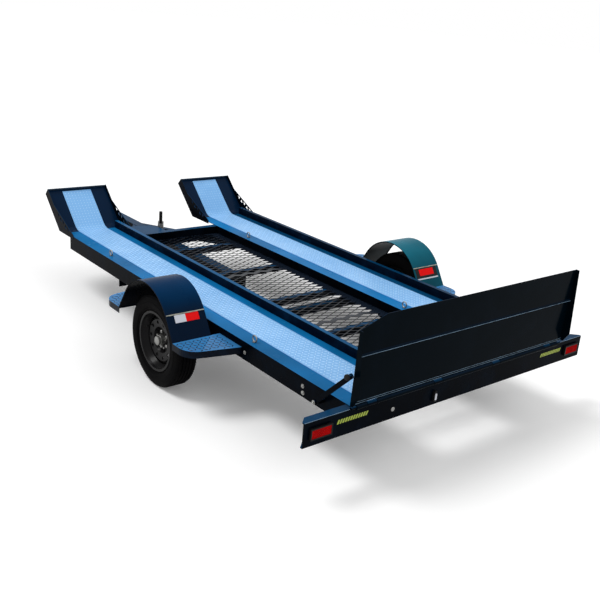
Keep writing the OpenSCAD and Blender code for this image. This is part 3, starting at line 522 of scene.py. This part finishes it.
def strip_station(run):
    """Place (y, z) and slope of the strip's upper face, run metres from its rear end."""
    y, z = strip_rear, floor_top + strip_t
    for length, angle in strip_parts:
        if run <= length or angle == slope:
            return y + run * cos(angle), z + run * sin(angle), angle
        y, z, run = y + length * cos(angle), z + length * sin(angle), run - length


def by_turns(i, j):
    """The turn of tread i, j: treads point two ways by turns."""
    return radians(45 if (i + j) % 2 else -45)


strip_pitch, climb = 0.0245, 0.385
side_margin, end_margin, first_tread = 0.010, 0.020, 0.014
rows = int((fold_y - strip_rear + climb - end_margin) / strip_pitch)
strip_tread = lozenge(length=0.0235, width=0.0066, height=0.0013)
for _, name in sides:
    low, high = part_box("checker_strip_" + name)
    columns = int((high[0] - low[0] - side_margin) / strip_pitch)
    marks = []
    for i in range(columns):
        for j in range(rows):
            y, z, angle = strip_station(first_tread + (j + 0.5) * strip_pitch)
            x = centre("checker_strip_" + name)[0] + (i - (columns - 1) / 2) * strip_pitch
            marks.append(((x, y, z - sunk), (0, -sin(angle), cos(angle)), by_turns(i, j)))
    repeat("strip_treads_" + name, marks, strip_tread, "chassis", tread_sky_highlight)
print("treads", {k: v for k, v in made.items() if "treads" in k})

# %% [markdown]
# ## Treads on the steps
# The steps beside the wheels are painted checker plate, and only their flat middle shows treads. A grid of
# marks is laid over each step, and the marks outside its rounded outline are left out.

# %% Treads on the steps
step_pitch, step_margin, flat_margin = 0.026, 0.014, 0.012
step_corner, step_slant = 0.105, 0.05
step_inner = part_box("side_beam_right")[1][0]
step_tread = lozenge(length=0.031, width=0.0095, height=0.0018)


def inside_step(x, y, low, high, rear):
    """True inside a side step, whose outer far corner is rounded."""
    out, step_l = abs(x), high[1] - low[1]
    along = (y - low[1]) if rear else (high[1] - y)
    if not (flat_margin < out - step_inner and out < high[0] - step_margin):
        return False
    slant = step_slant * (out - step_inner) / (high[0] - step_corner - step_inner)
    if not step_margin + min(slant, step_slant) <= along < step_l - flat_margin:
        return False
    dx, dy = out - (high[0] - step_corner), step_slant + step_corner - along
    return not (dx > 0 and dy > 0 and hypot(dx, dy) > step_corner - step_margin)


for name, rear in (("steps_rear", True), ("steps_front", False)):
    low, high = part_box(name)
    marks = []
    half = int(high[0] / step_pitch)
    for i in range(-half, half + 1):
        for j in range(int((high[1] - low[1]) / step_pitch) + 1):
            x, y = i * step_pitch, low[1] + (j + 0.5) * step_pitch
            if inside_step(x, y, low, high, rear):
                marks.append(((x, y, high[2] - sunk), (0, 0, 1), by_turns(i, j)))
    repeat(name + "_treads", marks, step_tread, "chassis", tread_dark)
    print(name, len(marks), "treads")

# %% [markdown]
# ## Wheels
# Each wheel gets its nuts, a dust cap over the hub and a valve. They are turned parts, so the lathe makes
# them. The nuts repeat round the axle: their marks come from turning one place about the wheel's centre.

# %% Wheel details
hub_out, tyre_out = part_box("hub_right")[1][0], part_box("tyre_right")[1][0]
wheel_x, wheel_y, wheel_z = centre("tyre_right")
nut_count, nut_circle, nut_in = 5, 0.050, 0.006
valve_out, valve_front, valve_up = 0.016, 0.122, 0.05
nut = lathe("nut", [(0.0100, 0), (0.0112, 0.004), (0.0112, 0.013), (0.0085, 0.016)], 6)
cap = lathe("cap", [(0.0285, -0.004), (0.0285, 0.010), (0.0265, 0.017), (0.021, 0.021), (0.010, 0.0235)], 40)
valve = lathe("valve", [(0.0055, 0), (0.0055, 0.008), (0.0035, 0.010), (0.0035, 0.030), (0.003, 0.032)], 14)
for side, name in sides:
    body, outwards = "wheel_" + name, (side, 0, 0)
    angles = [2 * pi * i / nut_count for i in range(nut_count)]
    nut_marks = [((side * (wheel_x - nut_in), wheel_y + nut_circle * cos(a), wheel_z + nut_circle * sin(a)),
                  outwards, 0.0) for a in angles]
    repeat("wheel_nuts_" + name, nut_marks, nut, body, zinc_steel)
    cap_mark = ((side * hub_out, wheel_y, wheel_z), outwards, 0.0)
    repeat("hub_cap_" + name, [cap_mark], cap, body, zinc_steel, smooth=True)
    valve_mark = ((side * (wheel_x + valve_out), wheel_y + valve_front, wheel_z + valve_up), outwards, 0.0)
    repeat("valve_" + name, [valve_mark], valve, body, grip_black)
print("wheel details", [k for k in made if "nuts" in k or "cap" in k or "valve" in k])

# %% [markdown]
# ## The tyres' rubber
# CAD has the tyre's body and grooves. What makes it rubber is smaller: blocks along both shoulders and low
# rings on the sidewalls. The blocks lean outwards with the shoulder, and each ring is a plain torus.

# %% Blocks and rings on the tyres
block_count, shoulder_r, shoulder_in = 96, 0.2755, 0.0190
block_lean, block_up = 0.34, 0.94
shoulder_x = tyre_out - wheel_x - shoulder_in
block_foot, block_top = (0.0055, 0.0052, 0), (0.0045, 0.0046, 0.0024)
block = new_mesh("block", [(sx * x, sy * y, z) for x, y, z in (block_foot, block_top) for sx, sy in square],
                 eight_corner_faces)


def shoulder_marks(side):
    marks = []
    for i in range(block_count):
        a = 2 * pi * i / block_count
        for lean in (-1, 1):
            spot = (side * (wheel_x + lean * shoulder_x), wheel_y + shoulder_r * cos(a),
                    wheel_z + shoulder_r * sin(a))
            marks.append((spot, (side * lean * block_lean, block_up * cos(a), block_up * sin(a)), 0.0))
    return marks


def wheel_ring(name, body, x, radius, thickness, segments=96, around=10):
    """A torus about the wheel's axle."""
    verts, faces = [], []
    for i in range(segments):
        a = 2 * pi * i / segments
        for j in range(around):
            b = 2 * pi * j / around
            r = radius + thickness * cos(b)
            verts.append((x + thickness * sin(b), wheel_y + r * cos(a), wheel_z + r * sin(a)))
            k, m = (i + 1) % segments, (j + 1) % around
            faces.append((i * around + j, k * around + j, k * around + m, i * around + m))
    add_piece(name, new_mesh(name, verts, faces, outwards=True), body, tyre_rubber)


for side, name in sides:
    repeat("shoulder_blocks_" + name, shoulder_marks(side), block, "wheel_" + name,
           tyre_rubber)
ring_sizes, ring_thick = ((0.236, 0.0705), (0.200, 0.0668), (0.190, 0.0630)), 0.0022
for side, name in sides:
    for order, (radius, offset) in enumerate(ring_sizes, 1):
        wheel_ring("sidewall_ring_%s_%d" % (name, order), "wheel_" + name, side * (wheel_x + offset), radius,
                   ring_thick)
print("tyre pieces", [k for k in made if "ring" in k or "blocks" in k])

# %% [markdown]
# ## Bars and tubes along a path
# Rolled edges, U-bolts and weld beads all follow a path with a round section. A curve with a bevel is
# the quickest way to such a shape, and turning it into a mesh at once keeps it plain for the export.

# %% Tube along a path
def tube_mesh(name, points, radius, resolution):
    curve = bpy.data.curves.new(name, "CURVE")
    curve.dimensions = "3D"
    curve.bevel_depth = radius
    curve.bevel_resolution = resolution
    curve.use_fill_caps = True
    spline = curve.splines.new("POLY")
    spline.points.add(len(points) - 1)
    for target, point in zip(spline.points, points):
        target.co = (*point, 1)
    holder = bpy.data.objects.new(name, curve)
    bpy.context.scene.collection.objects.link(holder)
    return evaluated_mesh(holder, name)


def tubes(name, paths, radius, body, material, resolution=3):
    parts = [tube_mesh(name, points, radius, resolution) for points in paths]
    return add_piece(name, joined(name, *parts), body, material)


print("pieces before the tubes:", len(made))

# %% [markdown]
# ## Rolled edges of the mudguards
# The sheet of a mudguard is rolled over a wire at its rims, which stiffens it. A tube that follows the
# arch shows that edge. The seam where the flat rear panel begins is a thin pale line with dark blotches.

# %% Rolled edges of the mudguards
guard_low, guard_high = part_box("mudguard_right")
guard_r, seam_angle = 0.286, radians(34)
edge_r, edge_in, edge_under, edge_foot = 0.0032, 0.004, 0.0045, 0.002
seam_r, seam_back = 0.0035, 0.0005
guard_y, guard_z = centre("mudguard_right")[1], guard_high[2] - guard_r
foot_y, foot_z = (guard_high[1] - guard_low[1]) / 2, guard_low[2]
seam_y, seam_z = guard_y - guard_r * cos(seam_angle), guard_z + guard_r * sin(seam_angle)
edge_xs = (guard_high[0] - edge_in, guard_low[0] + edge_in)


def guard_path(x):
    """Up from the front foot, over the arch and down to the rear foot."""
    arc = [seam_angle + (pi - 2 * seam_angle) * i / 40 for i in range(41)]
    r, foot, z = guard_r - edge_under, foot_y - edge_under, foot_z + edge_foot
    over = [(x, guard_y + r * cos(a), guard_z + r * sin(a)) for a in arc]
    return [(x, guard_y + foot, z)] + over + [(x, guard_y - foot, z)]


for side, name in sides:
    tubes("mudguard_edges_" + name, [guard_path(side * x) for x in edge_xs], edge_r, "chassis",
          guard_paint)
    seam_line = [(side * x, seam_y - seam_back, seam_z) for x in reversed(edge_xs)]
    tubes("worn_seam_" + name, [seam_line], seam_r, "chassis", worn_seam)
print("mudguard centre", round(guard_y, 3), round(guard_z, 3))

# %% [markdown]
# ## Painted highlights on edges
# Folds catch the light. Very thin beads on the stops' hems, the tailgate's folds and the rear beam carry a
# painted highlight, a finish of their own, so they stay thin bright lines.

# %% Painted highlights on the edges of the wheel stops, the tailgate and the rear beam
def line_across(low, high, inset, y, z):
    """From side to side of a box, a little short of both ends."""
    return [(x, y, z) for x in (low[0] + inset, high[0] - inset)]


hem_paths = []
for _, name in sides:
    low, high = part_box("wheel_stop_" + name)
    hem_paths.append(line_across(low, high, 0.002, high[1] - 0.0165, high[2] - 0.0006))
tubes("hem_edges", hem_paths, 0.0014, "chassis", painted_edge_highlight)

hinge_back, hinge_up, gate_lean = 0.020, 0.012, radians(2)
gate_face, gate_folds = -0.0012, (0.2795, 0.020, 0.030)
rib_face, rib_top = -0.0091, 0.272


def gate_line(y, z):
    """A line across the tailgate. y and z are measured from its hinge, before it leans."""
    place_y = rear_face - hinge_back + y * cos(gate_lean) - z * sin(gate_lean)
    place_z = floor_top + hinge_up + y * sin(gate_lean) + z * cos(gate_lean)
    return line_across(*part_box("tailgate"), 0.004, place_y, place_z)


tubes("rib_edge", [gate_line(rib_face, rib_top)], 0.0012, "tailgate", painted_edge_highlight)
tubes("gate_edges", [gate_line(gate_face, z) for z in gate_folds], 0.0010, "tailgate",
      painted_edge_highlight)
beam_low, beam_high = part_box("rear_beam")
beam_line = line_across(beam_low, beam_high, 0.003, rear_face + 0.0004, beam_high[2] - 0.0004)
tubes("beam_edge", [beam_line], 0.0012, "chassis", painted_edge_highlight)
print("hem at", [round(v, 3) for v in hem_paths[0][0]])

# %% [markdown]
# ## Reflective tape
# Tape is a thin plate that follows the panel it is stuck to, so it is built from the panel's own slope.
# It lies on the flat rear panel of each mudguard, where a driver behind sees it.

# %% Tape on the rear panels of the mudguards
panel_seam = Vector((0, seam_y, seam_z))
panel_down = Vector((0, guard_y - foot_y, foot_z)) - panel_seam
panel_out = Vector((0, panel_down.z, -panel_down.y)).normalized()


def panel_patch(name, side, xs, ts, material, lift=0.0012):
    """A plate on the flat rear panel. xs run outwards from its inner edge, ts from seam (0) to foot (1)."""
    verts = []
    for offset in (0.0, lift):
        for x, t in ((xs[0], ts[0]), (xs[1], ts[0]), (xs[1], ts[1]), (xs[0], ts[1])):
            p = panel_seam + panel_down * t + panel_out * offset
            verts.append((side * (guard_low[0] + x), p.y, p.z))
    mesh = new_mesh(name, verts, eight_corner_faces, outwards=True)
    add_piece(name, mesh, "chassis", material, smooth=False)


panel_patch("tape_left_white", -1, (0.129, 0.199), (0.03, 0.32), tape_white)
panel_patch("tape_left_red", -1, (0.044, 0.129), (0.03, 0.32), tape_red)
panel_patch("tape_right_back", 1, (0.016, 0.222), (0.02, 0.48), grip_black, lift=0.001)
panel_patch("tape_right_red", 1, (0.049, 0.189), (0.08, 0.38), tape_red, lift=0.002)
panel_patch("tape_right_white", 1, (0.016, 0.222), (0.50, 0.56), tape_white)
print("tapes", [k for k in made if k.startswith("tape_")])

# %% [markdown]
# ## Tail lamps
# A moulded lens is a red block with fine upright ridges in a black frame. The frame is a ring of four
# bars built from two rectangles, and the ridges repeat along each lens.

# %% Lamp frames and ridges
lamp_low, lamp_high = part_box("tail_lamps")
lamp_w, frame_out, frame_in, frame_proud = 0.124, 0.004, -0.003, 0.002
lamp_z = centre("tail_lamps")[2]
half_w, half_h = lamp_w / 2, lamp_high[2] - lamp_z
lamp_centres = [side * (lamp_high[0] - half_w) for side, _ in sides]


def lamp_frame(cx):
    """Four bars round a lens: an outer and an inner rectangle, at the beam and in front of the lens."""
    verts, faces = [], []
    for y in (lamp_high[1], lamp_low[1] - frame_proud):
        for grow in (frame_out, frame_in):
            verts += [(cx + sx * (half_w + grow), y, lamp_z + sz * (half_h + grow)) for sx, sz in square]
    for i in range(4):
        j = (i + 1) % 4
        faces += [(8 + i, 8 + j, 12 + j, 12 + i), (i, j, 8 + j, 8 + i), (4 + i, 12 + i, 12 + j, 4 + j),
                  (i, 4 + i, 4 + j, j)]
    return new_mesh("lamp_frame", verts, faces, outwards=True)


add_piece("lamp_frames", joined("lamp_frames", *[lamp_frame(cx) for cx in lamp_centres]), "chassis",
          grip_black, smooth=False)
ridge_half, ridge_h, ridge_up = 0.0022, 0.0018, half_h - 0.004
ridge_count, ridge_pitch = 23, 0.0048
ridge_foot = [(sx * ridge_half, sy * ridge_up, 0) for sx, sy in square]
ridge = new_mesh("ridge", ridge_foot + [(0, -ridge_up, ridge_h), (0, ridge_up, ridge_h)],
                 [(3, 2, 1, 0), (1, 2, 5, 4), (3, 0, 4, 5), (0, 1, 4), (2, 3, 5)])
ridge_marks = [((cx + (i - ridge_count // 2) * ridge_pitch, lamp_low[1], lamp_z), (0, -1, 0), 0.0)
               for cx in lamp_centres for i in range(ridge_count)]
repeat("lamp_ridges", ridge_marks, ridge, "chassis", lamp_red)
print("lamp frames and", len(ridge_marks), "ridges")

# %% [markdown]
# ## Bolts and knobs
# Bolts sit wherever two pieces meet on the real trailer: the stays, the beam ends, the steps and the
# coupler. They all come from one hexagon bolt with its washer, and a knob closes each stay.

# %% Bolts on the chassis
side_low, side_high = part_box("side_beam_right")
bracket_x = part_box("stay_brackets")[1][0]
_, pin_y, pin_z = centre("stay_brackets")
stay_l, stay_slope = 0.335, radians(45.4)
steps_from, steps_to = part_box("steps_rear")[0][1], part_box("steps_front")[1][1]
beam_bolts = ((rear_face + 0.379, 0.060), (rear_face + 0.374, 0.024), (steps_from - 0.030, 0.045),
              (steps_from + 0.030, 0.045), (steps_to + 0.030, 0.045), (steps_to + 0.080, 0.045))
bolt_marks = [((side * side_high[0], y, side_low[2] + up), (side, 0, 0), 0.3)
              for side, _ in sides for y, up in beam_bolts]
bolt_marks += [((side * bracket_x, pin_y, pin_z), (side, 0, 0), 0.2) for side, _ in sides]
repeat("chassis_bolts", bolt_marks, frame_bolt, "chassis", zinc_steel)

knob = lathe("knob", [(0.0105, 0), (0.0145, 0.002), (0.0150, 0.012), (0.0125, 0.017), (0.006, 0.018)], 24)
for side, name in sides:
    outer = max(abs(corner[0]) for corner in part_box("stay_" + name))
    knob_spot = (side * (outer - 0.001), pin_y - stay_l * cos(stay_slope), pin_z + stay_l * sin(stay_slope))
    repeat("stay_knob_" + name, [(knob_spot, (side, 0, 0), 0.0)], knob, "stay_" + name,
           grip_black, smooth=True)

coupler_rear, drawbar_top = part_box("coupler")[0][1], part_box("drawbar")[1][2]
flange_t, flange_x, flange_ys = 0.008, 0.0335, (0.012, 0.12)
coupler_bolt = hex_bolt(across=0.011, head=0.005, washer=0.0065)
coupler_marks = [((x, coupler_rear + y, drawbar_top + flange_t), (0, 0, 1), 0.1)
                 for y in flange_ys for x in (-flange_x, flange_x)]
repeat("coupler_bolts", coupler_marks, coupler_bolt, "chassis", zinc_steel)
print("bolts", len(bolt_marks), "and", len(coupler_marks))

# %% [markdown]
# ## Spring clamps
# The axle hangs from its springs by U-bolts that go over the tube and through a plate under the leaves.
# A path with two round bends makes each U-bolt, and a block with eased edges makes each plate.

# %% U-bolts over the axle and the plates they pull up under the springs
def block_piece(name, low, high, material, bevel=0.002):
    """A block with eased edges."""
    bm = bmesh.new()
    bmesh.ops.create_cube(bm, size=1.0)
    for v in bm.verts:
        v.co = Vector([(l + h) / 2 + c * (h - l) for c, l, h in zip(v.co, low, high)])
    bmesh.ops.bevel(bm, geom=list(bm.edges), offset=bevel, segments=2, affect="EDGES", profile=0.6)
    mesh = bpy.data.meshes.new(name)
    bm.to_mesh(mesh)
    bm.free()
    return add_piece(name, mesh, "chassis", material)


spring_low, spring_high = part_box("leaf_springs")
leaf_w, bolt_r, bolt_tail = 0.044, 0.004, 0.018
leaf_x, spring_foot = spring_high[0] - leaf_w / 2, spring_low[2]
half_gap, arch, bend = 0.0275, 0.0295, 0.008
plate_x, plate_y, plate_low, plate_high = 0.038, 0.040, spring_foot - 0.007, spring_foot - 0.0005


def u_bolt_path(x):
    """Up behind the axle, over it and down in front. arch is the reach from the axle's middle."""
    corner = [(bend * (1 - cos(a)), bend * sin(a)) for a in [pi / 8 * k for k in range(5)]]
    foot, shoulder = spring_foot - bolt_tail, wheel_z + arch - bend
    up = [(x, wheel_y - arch + u, shoulder + v) for u, v in corner]
    down = [(x, wheel_y + arch - u, shoulder + v) for u, v in reversed(corner)]
    return [(x, wheel_y - arch, foot)] + up + down + [(x, wheel_y + arch, foot)]


bolt_xs = [side * leaf_x + dx for side, _ in sides for dx in (-half_gap, half_gap)]
tubes("spring_u_bolts", [u_bolt_path(x) for x in bolt_xs], bolt_r, "chassis", zinc_steel)
for side, name in sides:
    block_piece("spring_plate_" + name, (side * leaf_x - plate_x, wheel_y - plate_y, plate_low),
                (side * leaf_x + plate_x, wheel_y + plate_y, plate_high), frame_paint)
nut_marks = [((x, wheel_y + dy, plate_low), (0, 0, -1), 0.3) for x in bolt_xs for dy in (-arch, arch)]
spring_nut = hex_bolt(across=0.013, head=0.007, washer=0.009)
repeat("spring_nuts", nut_marks, spring_nut, "chassis", zinc_steel)
print("U-bolts", len(bolt_xs), "nuts", len(nut_marks))

# %% [markdown]
# ## Weld beads
# The beams are joined by short welds. A bead is a thin tube that wavers a little along its corner, under
# the same paint as the beams.

# %% Weld beads
def bead(start, end, step=0.006, waver=0.0006):
    """A path from start to end that wavers a little to both sides."""
    a, b = Vector(start), Vector(end)
    count = max(2, int((b - a).length / step))
    across = (b - a).cross(Vector((0, 0, 1)))
    across = across.normalized() if across.length > 1e-6 else Vector((1, 0, 0))
    return [tuple(a.lerp(b, i / count) + across * (waver * sin(i * 2.3))) for i in range(count + 1)]


bead_r, proud = 0.0028, 0.001
brace_end, corner_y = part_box("drawbar_braces")[1][1], beam_high[1] + proud
drawbar_half, side_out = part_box("drawbar")[1][0], side_high[0]
top, foot = drawbar_top - proud, side_low[2] - proud
bead_paths = []
for side, _ in sides:
    brace_x, face_x = side * (drawbar_half + 0.0005), side * (side_out + proud)
    bead_paths += [
        bead((brace_x, brace_end - 0.180, top), (brace_x, brace_end - 0.010, top)),
        bead((side * (side_out - 0.045), corner_y, foot), (side * (side_out - 0.005), corner_y, foot)),
        bead((face_x, corner_y, side_low[2] + 0.005), (face_x, corner_y, side_high[2] - 0.008))]
tubes("weld_beads", bead_paths, bead_r, "chassis", frame_paint, resolution=2)
print("beads", len(bead_paths))

# %% [markdown]
# ## Fittings on the rear beam
# The beam carries a small plate lamp, a round marker and slanted reflective tape. The tape repeats one
# slanted bar, which keeps it a plain pattern.

# %% Plate lamp, marker and tape on the rear beam
mid_z, tape_z = floor_top - 0.080, floor_top - 0.052
lamp_x, button_x = -0.223, -0.520
block_piece("plate_lamp", (lamp_x - 0.009, rear_face - 0.016, mid_z - 0.030),
            (lamp_x + 0.009, rear_face, mid_z + 0.030), grip_black)
block_piece("plate_lamp_lens", (lamp_x - 0.0055, rear_face - 0.020, mid_z - 0.018),
            (lamp_x + 0.0055, rear_face - 0.015, mid_z + 0.018), tape_white, bevel=0.001)
oval = lathe("oval", [(0.012, 0), (0.012, 0.002), (0.010, 0.0035)], 28)
button_mark = ((button_x, rear_face, mid_z), (0, -1, 0), 0.0)
repeat("marker_button", [button_mark], oval, "chassis", zinc_steel)
slash_count, slash_from, slash_pitch = 12, 0.700, 0.0165
slash_outline = ((-0.010, -0.011), (0.001, -0.011), (0.010, 0.011), (-0.001, 0.011))
slash = new_mesh("slash", [(x, y, z) for z in (0, 0.0006) for x, y in slash_outline], eight_corner_faces)
slash_marks = [((side * (slash_from + i * slash_pitch), rear_face, tape_z), (0, -1, 0), 0.0)
               for side, _ in sides for i in range(slash_count)]
repeat("slanted_tape", slash_marks, slash, "chassis", tape_lime)
print("slanted bars", len(slash_marks))

# %% [markdown]
# ## The crank's grip
# The grip of the jockey wheel's crank is ribbed plastic. Eight rings on the CAD grip show the ribs, and
# they turn with the crank.

# %% Ribs of the crank's grip
crank_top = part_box("jockey_crank")[1][2]
jockey_x, jockey_y, _ = centre("jockey_tube")
crank_arm, crank_turn = 0.100, radians(240)
rib_count, rib_pitch, first_rib = 8, 0.009, 0.014
grip_x, grip_y = jockey_x + crank_arm * cos(crank_turn), jockey_y + crank_arm * sin(crank_turn)
grip_ring = lathe("grip_ring", [(0.0128, -0.0022), (0.0142, -0.001), (0.0142, 0.001), (0.0128, 0.0022)], 24)
grip_marks = [((grip_x, grip_y, crank_top - first_rib - i * rib_pitch), (0, 0, 1), 0.0)
              for i in range(rib_count)]
repeat("grip_ribs", grip_marks, grip_ring, "jockey_crank", grip_black)
print(len(made), "pieces,", sum(made.values()), "faces")

# %% [markdown]
# ## The studio
# A pale floor under two soft lights keeps the paint's own colours. Light Path lets the camera see a
# white floor and world while the object is lit at a plain level.

# %% Floor
floor_reach, floor_drop, floor_glow = 60, 0.0005, 0.12


def studio_floor():
    corners = [(x * floor_reach, y * floor_reach, -floor_drop) for x, y in square]
    mesh = new_mesh("studio_floor", corners, [(0, 1, 2, 3)])
    obj = bpy.data.objects.new("studio_floor", mesh)
    bpy.context.scene.collection.objects.link(obj)
    material, tree, shader = start_material("studio_floor")
    shader.inputs["Base Color"].default_value = (0.96, 0.96, 0.96, 1)
    shader.inputs["Roughness"].default_value = 0.9
    shader.inputs["Specular IOR Level"].default_value = 0.0
    shader.inputs["Emission Color"].default_value = (1, 1, 1, 1)
    seen_by = put(tree, "ShaderNodeLightPath")
    glow = put(tree, "ShaderNodeMapRange", To_Min=0.0, To_Max=floor_glow)
    join(tree, (seen_by.outputs["Is Camera Ray"], glow.inputs["Value"]),
         (glow.outputs["Result"], shader.inputs["Emission Strength"]))
    mesh.materials.append(material)


studio_floor()
print("floor", 2 * floor_reach, "m wide")

# %% World and lights
world = bpy.data.worlds.new("studio")
bpy.context.scene.world = world
world.use_nodes = True
sky_tree = world.node_tree
back = sky_tree.nodes["Background"]
back.inputs["Color"].default_value = (1, 1, 1, 1)
seen_by = put(sky_tree, "ShaderNodeLightPath").outputs
seen, seen_too = [put(sky_tree, "ShaderNodeMath", operation="MAXIMUM") for _ in range(2)]
strength = put(sky_tree, "ShaderNodeMapRange", To_Min=0.62, To_Max=1.0)
join(sky_tree, (seen_by["Is Camera Ray"], seen.inputs[0]), (seen_by["Is Glossy Ray"], seen.inputs[1]),
     (seen.outputs[0], seen_too.inputs[0]), (seen_by["Is Transmission Ray"], seen_too.inputs[1]),
     (seen_too.outputs[0], strength.inputs["Value"]), (strength.outputs["Result"], back.inputs["Strength"]))


def sun_light(name, come_from, energy, angle):
    data = bpy.data.lights.new(name, "SUN")
    data.energy = energy
    data.angle = radians(angle)
    obj = bpy.data.objects.new(name, data)
    obj.rotation_euler = Vector(come_from).to_track_quat("Z", "Y").to_euler()
    bpy.context.scene.collection.objects.link(obj)


sun_light("key_sun", (-0.45, 0.35, 1.0), 1.35, 22)
sun_light("fill_sun", (0.4, -0.9, 0.8), 0.45, 40)
bpy.context.scene.view_settings.view_transform = "Standard"
print("lights", [light.name for light in bpy.data.lights])
